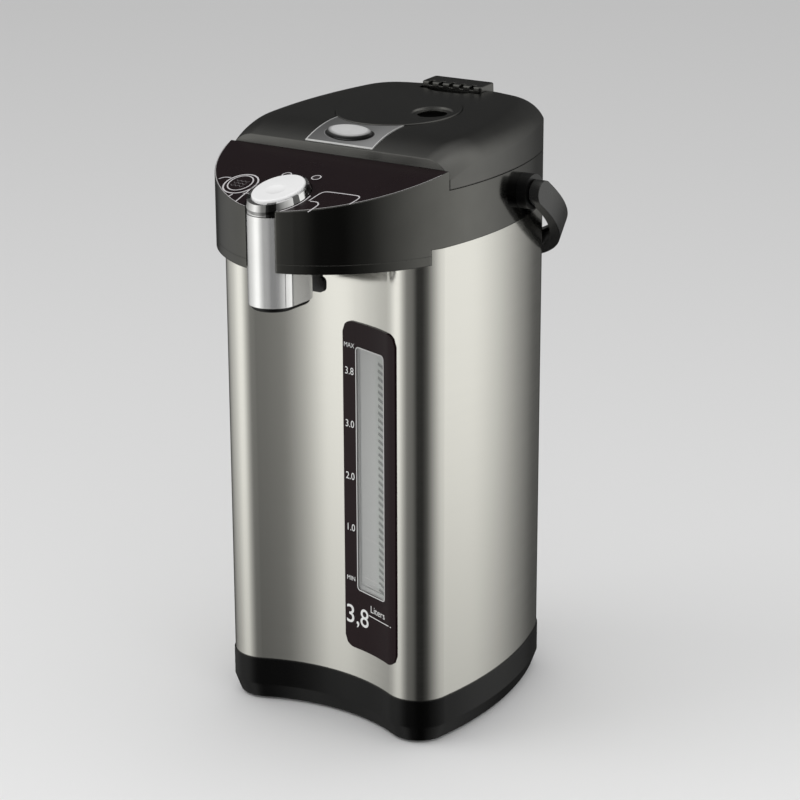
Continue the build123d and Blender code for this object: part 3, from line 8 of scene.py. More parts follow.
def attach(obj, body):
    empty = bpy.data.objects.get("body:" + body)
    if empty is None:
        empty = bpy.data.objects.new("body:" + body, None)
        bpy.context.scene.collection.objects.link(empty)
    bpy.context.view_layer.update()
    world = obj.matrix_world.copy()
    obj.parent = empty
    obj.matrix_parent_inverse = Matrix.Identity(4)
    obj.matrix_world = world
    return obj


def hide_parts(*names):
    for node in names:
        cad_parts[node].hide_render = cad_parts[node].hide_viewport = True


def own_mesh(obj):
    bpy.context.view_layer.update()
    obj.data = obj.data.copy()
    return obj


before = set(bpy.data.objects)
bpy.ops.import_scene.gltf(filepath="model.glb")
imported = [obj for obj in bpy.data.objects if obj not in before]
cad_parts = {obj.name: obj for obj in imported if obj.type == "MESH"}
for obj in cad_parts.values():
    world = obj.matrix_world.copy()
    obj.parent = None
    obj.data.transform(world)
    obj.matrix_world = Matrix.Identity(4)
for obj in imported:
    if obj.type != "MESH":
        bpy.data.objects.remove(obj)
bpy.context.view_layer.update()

MM = 0.001

# ---------------------------------------------------------------- sizes shared with the CAD, in mm
FACE_Y = -52.4
FACE_RADIUS = 112.0
FACE_CENTRE_Y = FACE_Y - FACE_RADIUS
PANEL_TOP = 352.0
LID_LINE_Y = -44.0
PANEL_ANGLE = math.radians(12.8)
CORNER_X, CORNER_Y = 57.08, -44.28
CORNER_RADIUS = 21.0
NOSE_TIP_Y = -119.5
NOSE_TIP_RADIUS = 48.0
NOSE_FLANK_RADIUS = 105.0
NOSE_SIDE_END_X = 80.0
SIDE_RADIUS = 235.0
SIDE_CENTRE = (-153.3, -5.0)
RING_Y = -100.75
RING_HALF_WIDTH, RING_HALF_LENGTH = 17.0, 22.3
LATCH_HALF_WIDTH = 23.9
LATCH_FRONT_Y, LATCH_REAR_Y = -42.2, -9.6
BUMP_Y = -31.0
BUMP_HALF_WIDTH, BUMP_HALF_LENGTH = 15.5, 7.5

# Level window as the photograph shows it, in mm: its plate and its glass are wider than the CAD's
PLATE_LEFT, PLATE_RIGHT = 9.7, 55.2
PLATE_BOTTOM, PLATE_TOP = 49.5, 257.0
PLATE_CORNER = 7.0
PLATE_PROUD = 1.0
GLASS_LEFT, GLASS_RIGHT = 20.2, 45.3
GLASS_BOTTOM, GLASS_TOP = 88.5, 242.0
GLASS_CORNER = 2.6


# ---------------------------------------------------------------- node helpers
class Tree:
    """Short hand for building a node tree."""

    def __init__(self, tree):
        self.tree = tree

    def join(self, value, socket):
        """Link another node's output to the socket, or set a plain value on it."""
        if isinstance(value, bpy.types.NodeSocket):
            self.tree.links.new(value, socket)
        else:
            socket.default_value = value

    def add(self, kind, **inputs):
        """New node, its inputs named with _ for a space."""
        node = self.tree.nodes.new("ShaderNode" + kind)
        for key, value in inputs.items():
            self.join(value, node.inputs[key.replace("_", " ")])
        return node

    def math(self, operation, first, second=0.0):
        node = self.add("Math")
        node.operation = operation
        self.join(first, node.inputs[0])
        self.join(second, node.inputs[1])
        return node.outputs[0]

    def spread(self, value, low, high, from_level, to_level):
        """Value between low and high mapped to the two levels, and held at them outside."""
        node = self.add("MapRange", Value=value, From_Min=low, From_Max=high,
                        To_Min=from_level, To_Max=to_level)
        return node.outputs["Result"]

    def ramp(self, factor, stops, tint=1.0):
        """Colour ramp through (position, grey level) stops, with the blue scaled by tint."""
        node = self.add("ValToRGB", Fac=factor)
        elements = node.color_ramp.elements
        while len(elements) < len(stops):
            elements.new(0.5)
        for element, (position, level) in zip(elements, stops):
            element.position = position
            element.color = (level, level, level * tint, 1)
        return node.outputs["Color"]

    def mix(self, factor, first, second, mode="MIX"):
        """Blend of two colours, each an output or a tuple of red, green and blue."""
        node = self.add("Mix")
        node.data_type = "RGBA"
        node.blend_type = mode
        self.join(factor, node.inputs[0])
        for color, socket in ((first, node.inputs[6]), (second, node.inputs[7])):
            self.join((*color, 1) if isinstance(color, tuple) else color, socket)
        return node.outputs[2]


class Nodes(Tree):
    """A new material's node tree, around its shader."""

    SOCKETS = {"color": "Base Color", "metal": "Metallic", "rough": "Roughness",
               "coat": "Coat Weight", "coat_rough": "Coat Roughness",
               "specular": "Specular IOR Level", "alpha": "Alpha"}

    def __init__(self, name):
        self.material = bpy.data.materials.new(name)
        self.material.use_nodes = True
        super().__init__(self.material.node_tree)
        self.shader = self.tree.nodes["Principled BSDF"]
        self.coords = self.add("TexCoord").outputs["Object"]

    def set(self, **values):
        for key, value in values.items():
            if isinstance(value, tuple):
                value = (*value, 1.0)
            self.shader.inputs[self.SOCKETS[key]].default_value = value
        return self

    def link(self, output, name):
        self.tree.links.new(output, self.shader.inputs[name])
        return self

    def noise(self, scale, detail=4.0, stretch=(1, 1, 1)):
        mapping = self.add("Mapping", Vector=self.coords, Scale=stretch)
        texture = self.add("TexNoise", Vector=mapping.outputs["Vector"], Scale=scale, Detail=detail)
        return texture.outputs["Fac"]

    def between(self, noise, low, high):
        """Most of a noise's range mapped to the two levels."""
        return self.spread(noise, 0.3, 0.7, low, high)

    def bump(self, height, distance, strength=1.0, edge=0.0):
        node = self.add("Bump", Height=height, Distance=distance, Strength=strength)
        if edge:
            self.tree.links.new(self.softened(edge), node.inputs["Normal"])
        return self.link(node.outputs["Normal"], "Normal")

    def softened(self, radius):
        """Normal that rounds the moulding's sharp edges by a radius in mm."""
        node = self.add("Bevel", Radius=radius * MM)
        node.samples = 4
        return node.outputs["Normal"]

    def axis(self, letter):
        return self.add("SeparateXYZ", Vector=self.coords).outputs[letter]


def moulded(name, color, rough, grain=0.0, grain_scale=1500.0, coat=0.0, specular=0.5,
            metal=0.0, edge=0.0):
    """Moulded plastic: a faint mottling of tone and gloss, and a fine grain where it is satin."""
    nodes = Nodes(name).set(specular=specular, metal=metal, coat=coat, coat_rough=0.03)
    mottle = nodes.noise(60.0, 3.0)
    lighter = tuple(min(1.0, c * 1.12 + 0.0003) for c in color)
    darker = tuple(c * 0.9 for c in color)
    nodes.link(nodes.mix(mottle, darker, lighter), "Base Color")
    nodes.link(nodes.between(nodes.noise(25.0, 5.0), rough * 0.88, rough * 1.12), "Roughness")
    if grain:
        nodes.bump(nodes.noise(grain_scale, 2.0), grain * MM, edge=edge)
    elif edge:
        nodes.link(nodes.softened(edge), "Normal")
    return nodes.material


def metal(name, color, rough, brushed=None):
    """Metal with fine lines drawn along one direction, or a faint polish haze."""
    nodes = Nodes(name).set(metal=1.0)
    lines = nodes.noise(900.0 if brushed else 40.0, 3.0, brushed or (1, 1, 1))
    darker = tuple(c * 0.97 for c in color)
    nodes.link(nodes.mix(lines, darker, color), "Base Color")
    nodes.link(nodes.between(lines, rough * 0.85, rough * 1.15), "Roughness")
    if brushed:
        nodes.bump(lines, 0.004 * MM, 0.35)
    return nodes.material


steel = metal("satin_steel", (0.80, 0.79, 0.74), 0.17, brushed=(0.02, 0.02, 1.0))
inner_steel = metal("drawn_steel", (0.70, 0.70, 0.69), 0.25, brushed=(0.02, 0.02, 1.0))
plated = metal("plated_steel", (0.55, 0.55, 0.55), 0.30)
brass = metal("plated_brass", (0.72, 0.62, 0.38), 0.28)
aluminium = metal("aluminium", (0.75, 0.75, 0.75), 0.35)
cap_chrome = moulded("pearl_chrome", (0.97, 0.97, 0.97), 0.16, metal=0.05, edge=0.8)
column_chrome = moulded("spout_chrome", (0.97, 0.97, 0.96), 0.06, metal=0.76)
base_black = moulded("gloss_black_base", (0.0015, 0.0015, 0.0015), 0.13, specular=0.25, edge=1.0)
collar_grey = moulded("smoke_grey_collar", (0.125, 0.124, 0.116), 0.13, metal=1.0, edge=0.7)
lid_grey = moulded("smoke_grey_lid", (0.125, 0.124, 0.118), 0.24, grain=0.004, metal=1.0, edge=0.8)
handle_grey = moulded("handle_grey", (0.018, 0.018, 0.0175), 0.25, coat=0.2, edge=0.6)
boss_black = moulded("black_boss", (0.003, 0.003, 0.003), 0.28)
matt_black = moulded("matt_black", (0.010, 0.010, 0.010), 0.45, grain=0.01)
rubber = moulded("black_rubber", (0.02, 0.02, 0.02), 0.75, grain=0.02, grain_scale=800.0)
silicone = moulded("silicone", (0.62, 0.62, 0.60), 0.55)
ivory = moulded("ivory_plastic", (0.60, 0.58, 0.50), 0.45)
board_green = moulded("circuit_board", (0.02, 0.10, 0.04), 0.40)
film = moulded("panel_film", (0.0095, 0.0042, 0.0055), 0.28, specular=0.15)
plate_film = moulded("window_plate_film", (0.0115, 0.0045, 0.0058), 0.14, specular=0.14, edge=0.3)
print_silver = moulded("printed_silver", (0.60, 0.58, 0.59), 0.40)
print_white = moulded("printed_white", (0.78, 0.78, 0.77), 0.45)
print_dim = moulded("printed_grey", (0.12, 0.11, 0.115), 0.45)
# Light grey for a painted highlight along the nose panel's rim
rim_highlight = moulded("painted_highlight_rim", (0.36, 0.35, 0.35), 0.25)
glass_rim = moulded("window_rim", (0.58, 0.58, 0.57), 0.22)
lamp_lens = moulded("lamp_lens", (0.020, 0.012, 0.014), 0.15, coat=0.5)
scale_light = moulded("scale_strip", (0.40, 0.42, 0.40), 0.45)
scale_dark = moulded("scale_stripe", (0.17, 0.18, 0.17), 0.45)


# Painted light on the latch: a painted highlight along its rim, of this width in mm, and a painted
# highlight on the bump, whose outline of painted shade reaches this many times as far as the bump
# itself
LATCH_RIM = 0.8
LATCH_HIGHLIGHT_COLOR = (0.78, 0.78, 0.77)
SHADE_OUTLINE_REACH = 1.12


def silver_latch_painted_light():
    """Silver plate painted lighter to the right, with painted highlights on its rims and its bump, and
    the bump outlined in painted shade.
    """
    nodes = Nodes("satin_silver_latch").set(metal=0.55)
    x = nodes.axis("X")
    y = nodes.axis("Y")
    across = nodes.math("DIVIDE", x, 2 * LATCH_HALF_WIDTH * MM)
    # Painted light: the plate's tone rises from left to right
    plate = nodes.ramp(nodes.math("ADD", across, 0.5), [(0.0, 0.16), (0.5, 0.23), (1.0, 0.38)])
    side = nodes.math("DIVIDE", x, BUMP_HALF_WIDTH * MM)
    depth = nodes.math("DIVIDE", nodes.math("SUBTRACT", y, BUMP_Y * MM), BUMP_HALF_LENGTH * MM)
    reach = nodes.math("SQRT", nodes.math("ADD", nodes.math("MULTIPLY", side, side),
                                          nodes.math("MULTIPLY", depth, depth)))
    # Painted highlight on the bump, ringed by a band of painted shade
    outline = nodes.ramp(nodes.math("DIVIDE", reach, 2.0),
                         [(0.0, 1.0), (0.38, 0.95), (0.45, 0.45), (0.485, 0.02), (0.535, 0.03),
                          (0.56, 0.5)])
    bump_painted_light = nodes.mix(nodes.math("LESS_THAN", reach, SHADE_OUTLINE_REACH), plate, outline)
    middle = (LATCH_FRONT_Y + LATCH_REAR_Y) / 2
    half_depth = (LATCH_REAR_Y - LATCH_FRONT_Y) / 2
    behind = nodes.math("ABSOLUTE", nodes.math("SUBTRACT", y, middle * MM))
    # Painted highlight along the plate's side and end rims
    side_highlight_mask = nodes.math("GREATER_THAN", nodes.math("ABSOLUTE", x),
                         (LATCH_HALF_WIDTH - LATCH_RIM) * MM)
    end_highlight_mask = nodes.math("GREATER_THAN", behind, (half_depth - LATCH_RIM) * MM)
    rim_highlighted = nodes.mix(nodes.math("MAXIMUM", side_highlight_mask, end_highlight_mask), bump_painted_light, LATCH_HIGHLIGHT_COLOR)
    nodes.link(rim_highlighted, "Base Color")
    lines = nodes.noise(200.0, 2.0, (1.0, 0.03, 1.0))
    nodes.link(nodes.between(lines, 0.28, 0.32), "Roughness")
    return nodes.material


def chrome_painted_reflection(name, reflection_steps):
    """Chrome ring with a painted reflection whose tone steps round it, so that it looks faceted."""
    nodes = Nodes(name).set(metal=1.0, rough=0.06)
    ahead = nodes.math("SUBTRACT", nodes.axis("Y"), RING_Y * MM)
    around = nodes.math("ARCTAN2", nodes.axis("X"), ahead)
    step = nodes.math("FLOOR", nodes.math("MULTIPLY", around, reflection_steps / (2 * math.pi)))
    tone = nodes.math("ABSOLUTE", nodes.math("SINE", nodes.math("MULTIPLY", step, 2.1)))
    # Painted reflection: light and dark bands in steps round the ring
    nodes.link(nodes.ramp(tone, [(0.0, 0.10), (0.45, 0.22), (0.70, 0.62), (1.0, 0.92)]), "Base Color")
    nodes.link(nodes.softened(0.3), "Normal")
    return nodes.material


def backing_painted_shade(name, left, right, rough):
    """Frosted sheet behind the window, with painted shade darkening it along its left edge."""
    nodes = Nodes(name)
    across = nodes.math("DIVIDE", nodes.math("SUBTRACT", nodes.axis("X"), GLASS_LEFT * MM),
                        (GLASS_RIGHT - GLASS_LEFT) * MM)
    # Painted shade: darkest at the left edge, then lighter towards the right
    tone = nodes.ramp(across, [(0.0, left * 0.55), (0.10, left * 0.80), (0.16, left),
                               (0.60, right), (1.0, right)])
    nodes.link(nodes.mix(1.0, tone, (0.985, 1.0, 0.975), "MULTIPLY"), "Base Color")
    nodes.link(nodes.between(nodes.noise(30.0), rough * 0.9, rough * 1.1), "Roughness")
    return nodes.material


def clear(name, color, rough, alpha):
    """Clear moulded plastic, see-through by its alpha."""
    nodes = Nodes(name).set(color=color, alpha=alpha, specular=0.35)
    nodes.link(nodes.between(nodes.noise(20.0), rough * 0.8, rough * 1.2), "Roughness")
    return nodes.material


silver = silver_latch_painted_light()
ring_painted_reflection = chrome_painted_reflection("chrome_painted_reflection", 22)
frosted = backing_painted_shade("frosted_back", 0.36, 0.43, 0.5)
window_clear = clear("window_clear", (0.80, 0.80, 0.79), 0.10, 0.12)
tube_clear = clear("tube_clear", (0.75, 0.76, 0.75), 0.10, 0.45)

NODE_MATERIALS = {
    steel: ["outer_sleeve"],
    inner_steel: ["inner_pot", "pot_neck", "lid_inner_cover"],
    column_chrome: ["column_front", "column_rear"],
    ring_painted_reflection: ["cap_ring"],
    cap_chrome: ["pour_cap"],
    silver: ["lid_latch"],
    plated: ["cover_screws", "lever_pin", "cap_spring", "latch_pins", "hinge_pin", "handle_pins",
             "pump_motor"],
    brass: ["inlet_contacts"],
    aluminium: ["band_heater"],
    base_black: ["base_shell"],
    collar_grey: ["collar", "nose_cover"],
    lid_grey: ["lid_shell", "steam_cap", "lid_release"],
    handle_grey: ["carry_handle"],
    boss_black: ["handle_bosses", "steam_insert", "nozzle", "cup_lever"],
    matt_black: ["mouth_ring", "bottom_cover", "power_inlet", "thermostat", "lever_switch",
                 "cap_switch"],
    rubber: ["rubber_feet"],
    silicone: ["flange_gasket", "suction_hose", "lower_elbow", "delivery_tube", "lid_gasket"],
    ivory: ["pump_housing", "pump_impeller"],
    board_green: ["control_board"],
    film: ["control_panel"],
    plate_film: ["window_plate"],
    window_clear: ["window_glass"],
    tube_clear: ["level_tube"],
    lamp_lens: ["indicator_lamps"],
}
for material, names in NODE_MATERIALS.items():
    for name in names:
        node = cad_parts[name]
        node.data.materials.clear()
        node.data.materials.append(material)


# ---------------------------------------------------------------- piece helpers
def place(name, mesh, body, material):
    """New piece from a mesh in mm, riding on a body."""
    mesh.transform(Matrix.Scale(MM, 4))
    piece = bpy.data.objects.new(name, mesh)
    bpy.context.scene.collection.objects.link(piece)
    mesh.materials.clear()
    mesh.materials.append(material)
    for polygon in mesh.polygons:
        polygon.use_smooth = False
    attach(piece, body)
    return piece


def ribbon(rows):
    """Flat strips from lists of (left point, right point) pairs, one list per strip, in mm."""
    form = bmesh.new()
    for row in rows:
        left = [form.verts.new(pair[0]) for pair in row]
        right = [form.verts.new(pair[1]) for pair in row]
        for i in range(len(row) - 1):
            form.faces.new((left[i], right[i], right[i + 1], left[i + 1]))
    bmesh.ops.recalc_face_normals(form, faces=form.faces)
    mesh = bpy.data.meshes.new("ribbon")
    form.to_mesh(mesh)
    form.free()
    return mesh


def stroke(points, width, closed=False):
    """Pairs of points either side of a flat polyline in (u, v), for ribbon()."""
    count = len(points)
    row = []
    for i, point in enumerate(points):
        before = points[i - 1] if i or closed else point
        after = points[(i + 1) % count] if i < count - 1 or closed else point
        along = (Vector(after) - Vector(before)).normalized()
        aside = Vector((-along.y, along.x)) * width / 2
        row.append((Vector(point) + aside, Vector(point) - aside))
    if closed:
        row.append(row[0])
    return row


def arc_points(centre, radii, start=0.0, end=360.0, steps=48):
    """Points along an ellipse's arc, by angle in degrees."""
    angles = [math.radians(start + (end - start) * i / steps) for i in range(steps + 1)]
    return [(centre[0] + radii[0] * math.cos(a), centre[1] + radii[1] * math.sin(a)) for a in angles]


def rounded(points, radius, steps=6):
    """Closed outline through the corners, each rounded by an arc-like curve."""
    outline = []
    count = len(points)
    for i in range(count):
        corner = Vector(points[i])
        before = (Vector(points[i - 1]) - corner).normalized() * radius
        after = (Vector(points[(i + 1) % count]) - corner).normalized() * radius
        for k in range(steps + 1):
            t = k / steps
            outline.append(tuple(corner + before * (1 - t) ** 2 + after * t ** 2))
    return outline


def on_panel(u, v, lift):
    """Point on the nose panel: u across, v in plan along Y, lifted along the panel's normal."""
    z = PANEL_TOP + math.tan(PANEL_ANGLE) * (v - LID_LINE_Y)
    return Vector((u, v - lift * math.sin(PANEL_ANGLE), z + lift * math.cos(PANEL_ANGLE)))


FACE_END = FACE_RADIUS * CORNER_X / (FACE_RADIUS + CORNER_RADIUS)


def on_face(x, z, lift):
    """Point in front of the body's concave face, and round its front corner."""
    if x > FACE_END:
        angle = math.asin((x - CORNER_X) / CORNER_RADIUS)
        radius = CORNER_RADIUS + lift
        return Vector((CORNER_X + radius * math.sin(angle), CORNER_Y - radius * math.cos(angle), z))
    angle = math.asin(x / FACE_RADIUS)
    radius = FACE_RADIUS - lift
    return Vector((radius * math.sin(angle), FACE_CENTRE_Y + radius * math.cos(angle), z))


def printed(strokes, surface, lift):
    """Ribbon mesh of flat strokes laid on a surface."""
    rows = [[(surface(*left, lift), surface(*right, lift)) for left, right in row] for row in strokes]
    return ribbon(rows)


FONT_SIZE_PER_HEIGHT = 1.38


def figure(text, tall, centre, surface, lift, aspect=1.0, bold=0.0):
    """Mesh of a generic figure laid on a surface, centred, in mm."""
    curve = bpy.data.curves.new(text, "FONT")
    curve.body = text
    curve.offset = bold
    curve.align_x = "CENTER"
    curve.align_y = "CENTER"
    curve.size = tall * FONT_SIZE_PER_HEIGHT
    curve.resolution_u = 4
    carrier = bpy.data.objects.new(text, curve)
    mesh = bpy.data.meshes.new_from_object(carrier)
    bpy.data.objects.remove(carrier)
    for vertex in mesh.vertices:
        x, z = vertex.co.x * aspect, vertex.co.y
        vertex.co = surface(centre[0] + x, centre[1] + z, lift)
    return mesh


# ---------------------------------------------------------------- prints on the nose panel
PRINT_LIFT = 0.06
LINE = 0.8
ICON_U, ICON_V = -33.2, -93.6


def smooth(points, steps=8):
    """Curve through the points, as a polyline."""
    path = []
    ends = [points[0], *points, points[-1]]
    for before, start, end, after in zip(ends, ends[1:], ends[2:], ends[3:]):
        for i in range(steps):
            t = i / steps
            path.append(tuple(0.5 * (2 * s + (e - b) * t + (2 * b - 5 * s + 4 * e - a) * t ** 2
                                     + (3 * s - b - 3 * e + a) * t ** 3)
                              for b, s, e, a in zip(before, start, end, after)))
    path.append(points[-1])
    return path


def ring(centre, radii, width=LINE, turned=0.0):
    """Closed stroke along an ellipse, turned by an angle in degrees."""
    turn = Matrix.Rotation(math.radians(turned), 2)
    outline = arc_points((0, 0), radii)[:-1]
    points = [tuple(Vector(centre) + turn @ Vector(point)) for point in outline]
    return stroke(points, width, True)


boil_icon = [ring((ICON_U + 0.95, ICON_V - 0.25), (10.0, 12.3), 1.0, 22.4),
             ring((ICON_U + 0.1, ICON_V + 0.6), (7.2, 9.5), LINE, 20.0),
             stroke(smooth([(-49.4, -92.2), (-47.5, -89.4), (-43.4, -88.5)]), LINE),
             stroke([(-22.6, -90.5), (-21.9, -98.7), (-20.1, -114.5)], LINE),
             stroke([(-28.2, -106.6), (-28.6, -110.3)], LINE),
             stroke([(-22.8, -104.0), (-18.9, -102.9)], LINE)]
place("panel_boil_icon", printed(boil_icon, on_panel, PRINT_LIFT), "pot", print_silver)

WAVE_PITCH = 3.0
waves = [stroke(smooth([(ICON_U + 4.4 * k / 3, ICON_V + row * WAVE_PITCH + (0.7 if k % 2 else -0.7))
                        for k in range(-3, 4)]), 0.5) for row in (-1, 0, 1)]
place("panel_boil_waves", printed(waves, on_panel, PRINT_LIFT), "pot", print_dim)

pour_icon = [stroke(smooth([(21.2, -100.8), (21.6, -92.5), (22.6, -89.0), (25.2, -87.7),
                            (33.5, -87.2), (41.9, -86.9), (45.8, -87.3), (47.4, -90.0),
                            (46.7, -97.7)]), LINE),
             stroke(smooth([(22.3, -101.1), (26.7, -101.0), (28.9, -102.6), (29.7, -105.2),
                            (29.5, -113.4)]), LINE)]
place("panel_pour_icon", printed(pour_icon, on_panel, PRINT_LIFT), "pot", print_silver)

LAMP_PLACES = ((-12.5, -76.0), (7.0, -74.0))
LAMP_RING = 2.7
LAMP_LIFT = 0.36
lamp_rings = [ring(centre, (LAMP_RING, LAMP_RING), 0.7) for centre in LAMP_PLACES]
place("panel_lamp_rings", printed(lamp_rings, on_panel, LAMP_LIFT), "pot", print_silver)

RING_MARGIN = 1.5
CAP_LINE_FROM, CAP_LINE_TO = -44, 14
cap_radii = (RING_HALF_WIDTH + RING_MARGIN, RING_HALF_LENGTH + RING_MARGIN)
cap_line = [stroke(arc_points((0, RING_Y), cap_radii, CAP_LINE_FROM, CAP_LINE_TO), LINE)]
place("panel_cap_line", printed(cap_line, on_panel, PRINT_LIFT), "pot", print_silver)


def meet(first, first_distance, second, second_distance):
    """Point at the two distances, on the left of the line from first to second."""
    span = (second - first).length
    along = (first_distance ** 2 - second_distance ** 2 + span ** 2) / (2 * span)
    aside = math.sqrt(first_distance ** 2 - along ** 2)
    forward = (second - first) / span
    return first + forward * along + Vector((-forward.y, forward.x)) * aside


def nose_outline(inset, steps=24):
    """Right half of the nose's outline, from the tip back to the lid line."""
    tip = Vector((0, NOSE_TIP_Y + NOSE_TIP_RADIUS))
    side = Vector(SIDE_CENTRE)
    flank = meet(side, SIDE_RADIUS - NOSE_FLANK_RADIUS, tip, NOSE_FLANK_RADIUS - NOSE_TIP_RADIUS)
    tip_end = tip + (tip - flank).normalized() * (NOSE_TIP_RADIUS - inset)
    flank_end = side + (flank - side).normalized() * (SIDE_RADIUS - inset)
    outline = []
    for centre, start, end in ((tip, Vector((0, NOSE_TIP_Y + inset)), tip_end),
                               (flank, tip_end, flank_end),
                               (side, flank_end, Vector((NOSE_SIDE_END_X, LID_LINE_Y)))):
        radius = (start - centre).length
        first = math.atan2(*(start - centre).yx)
        last = math.atan2(*(end - centre).yx)
        outline += [centre + Vector((math.cos(first + (last - first) * i / steps),
                                     math.sin(first + (last - first) * i / steps))) * radius
                    for i in range(steps)]
    return [point for point in outline if point.y < LID_LINE_Y - 1.0]


# Painted highlight: a thin light line just inside the nose panel's rim, for the gleam along its
# chamfer
RIM_INSET = 0.5
RIM_WIDTH = 0.55
RIM_LIFT = 0.05
RIM_GAP_POINTS = 12
right_rim = nose_outline(RIM_INSET)
left_rim = [Vector((-point.x, point.y)) for point in reversed(right_rim[1:])]
rim_path = [tuple(point) for point in left_rim + right_rim]
half = len(rim_path) // 2
rim_highlights = [stroke(rim_path[:half - RIM_GAP_POINTS], RIM_WIDTH),
        stroke(rim_path[half + RIM_GAP_POINTS:], RIM_WIDTH)]
place("panel_rim_highlight", printed(rim_highlights, on_panel, RIM_LIFT), "pot", rim_highlight)

# ---------------------------------------------------------------- level window
WINDOW_COLUMNS = 28
PLATE_FOOT = 0.02


def opening_reach(x, left, right, bottom, top, corner):
    """Lowest and highest z of a rounded opening at x."""
    edge = max(0.0, corner - min(x - left, right - x))
    rise = corner - math.sqrt(max(0.0, corner ** 2 - edge ** 2))
    return bottom + rise, top - rise


def sort_by_place(parts, place_of):
    """Number the parts of a form by where they lie."""
    for index, part in enumerate(sorted(parts, key=lambda part: tuple(place_of(part)))):
        part.index = index
    parts.sort()


def window_plate_mesh():
    """Plate bent to the face, with the window cut through it and its edge turned back to the steel."""
    form = bmesh.new()
    widths = [PLATE_LEFT + (PLATE_RIGHT - PLATE_LEFT) * i / WINDOW_COLUMNS
              for i in range(WINDOW_COLUMNS + 1)]
    widths += [GLASS_LEFT, GLASS_RIGHT]
    columns = sorted(set(widths))

    def strip(low_high):
        rows = []
        for x, (low, high) in low_high:
            rows.append([form.verts.new(on_face(x, z, PLATE_PROUD)) for z in (low, high)])
        for first, second in zip(rows, rows[1:]):
            form.faces.new((first[0], second[0], second[1], first[1]))

    outer = {x: opening_reach(x, PLATE_LEFT, PLATE_RIGHT, PLATE_BOTTOM, PLATE_TOP, PLATE_CORNER)
             for x in columns}
    inner = {x: opening_reach(x, GLASS_LEFT, GLASS_RIGHT, GLASS_BOTTOM, GLASS_TOP, GLASS_CORNER)
             for x in columns if GLASS_LEFT <= x <= GLASS_RIGHT}
    strip([(x, outer[x]) for x in columns if x <= GLASS_LEFT])
    strip([(x, outer[x]) for x in columns if x >= GLASS_RIGHT])
    strip([(x, (outer[x][0], inner[x][0])) for x in inner])
    strip([(x, (inner[x][1], outer[x][1])) for x in inner])
    bmesh.ops.remove_doubles(form, verts=form.verts, dist=0.001)
    border = [edge for edge in form.edges if edge.is_boundary]
    turned_back = bmesh.ops.extrude_edge_only(form, edges=border)
    for item in turned_back["geom"]:
        if isinstance(item, bmesh.types.BMVert):
            item.co = on_face(flat_x(item.co), item.co.z, PLATE_FOOT)
    bmesh.ops.recalc_face_normals(form, faces=form.faces)
    # Extruding leaves its new parts in another order each run
    sort_by_place(form.verts, lambda vertex: vertex.co)
    sort_by_place(form.edges, lambda edge: edge.verts[0].co + edge.verts[1].co)
    sort_by_place(form.faces, lambda face: face.calc_center_median())
    mesh = bpy.data.meshes.new("window_plate")
    form.to_mesh(mesh)
    form.free()
    return mesh


def flat_x(point):
    """Place across the face of a point in front of it, the reverse of on_face."""
    if point.x > FACE_END:
        angle = math.atan2(point.x - CORNER_X, CORNER_Y - point.y)
        return CORNER_X + CORNER_RADIUS * math.sin(angle)
    return FACE_RADIUS * math.sin(math.atan2(point.x, point.y - FACE_CENTRE_Y))


def panel_mesh(left, right, bottom, top, corner, lift, columns=20):
    """Sheet bent to the face with rounded corners."""
    row = []
    for i in range(columns + 1):
        x = left + (right - left) * i / columns
        low, high = opening_reach(x, left, right, bottom, top, corner)
        row.append((on_face(x, low, lift), on_face(x, high, lift)))
    return ribbon([row])


# How far each layer of the window lies in front of the steel face
BACKING_LIFT = 0.10
BAND_LIFT = 0.20
STEP_LIFT = 0.30
STRIPE_LIFT = 0.32
LINE_LIFT = 0.36
PANE_LIFT = 0.75
PANE_RIM_LIFT = 1.08

PANE_RIM_WIDTH = 0.75
WINDOW = (GLASS_LEFT, GLASS_RIGHT, GLASS_BOTTOM, GLASS_TOP, GLASS_CORNER)

plate = place("level_plate", window_plate_mesh(), "pot", plate_film)
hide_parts("window_plate")
place("level_backing", panel_mesh(*WINDOW, BACKING_LIFT), "pot", frosted)
pane = place("level_pane", panel_mesh(*WINDOW, PANE_LIFT), "pot", window_clear)
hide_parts("window_glass")

pane_corners = [(GLASS_LEFT, GLASS_BOTTOM), (GLASS_RIGHT, GLASS_BOTTOM), (GLASS_RIGHT, GLASS_TOP),
                (GLASS_LEFT, GLASS_TOP)]
pane_rim = stroke(rounded(pane_corners, GLASS_CORNER), PANE_RIM_WIDTH, True)
place("level_pane_rim", printed([pane_rim], on_face, PANE_RIM_LIFT), "pot",
      glass_rim)
STEP_X, STEP_Z = GLASS_LEFT + 2.3, GLASS_BOTTOM + 4.0
inner_edge = [stroke([(STEP_X, STEP_Z), (STEP_X, GLASS_TOP - 3.0)], 0.5),
              stroke([(STEP_X, STEP_Z), (GLASS_RIGHT - 1.5, STEP_Z)], 0.4)]
place("level_pane_step", printed(inner_edge, on_face, STEP_LIFT), "pot",
      scale_dark)

STRIPE_LEFT, STRIPE_RIGHT = 39.0, 44.5
STRIPE_PITCH = 4.3
STRIPE_THICK = 2.0
STRIPE_FALL = 1.7
BAND_LEFT = 36.6
BAND_CORNER = 0.8
STRIPE_START = 5.0
band = panel_mesh(BAND_LEFT, STRIPE_RIGHT, GLASS_BOTTOM + 1.0, GLASS_TOP - 2.0, BAND_CORNER,
                  BAND_LIFT)
place("level_band", band, "pot", scale_light)
stripes = []
for index in range(int((GLASS_TOP - GLASS_BOTTOM - STRIPE_START) / STRIPE_PITCH)):
    z = GLASS_BOTTOM + STRIPE_START + index * STRIPE_PITCH
    stripes.append(stroke([(STRIPE_LEFT, z + STRIPE_FALL / 2), (STRIPE_RIGHT, z - STRIPE_FALL / 2)],
                          STRIPE_THICK))
place("level_stripes", printed(stripes, on_face, STRIPE_LIFT), "pot", scale_dark)
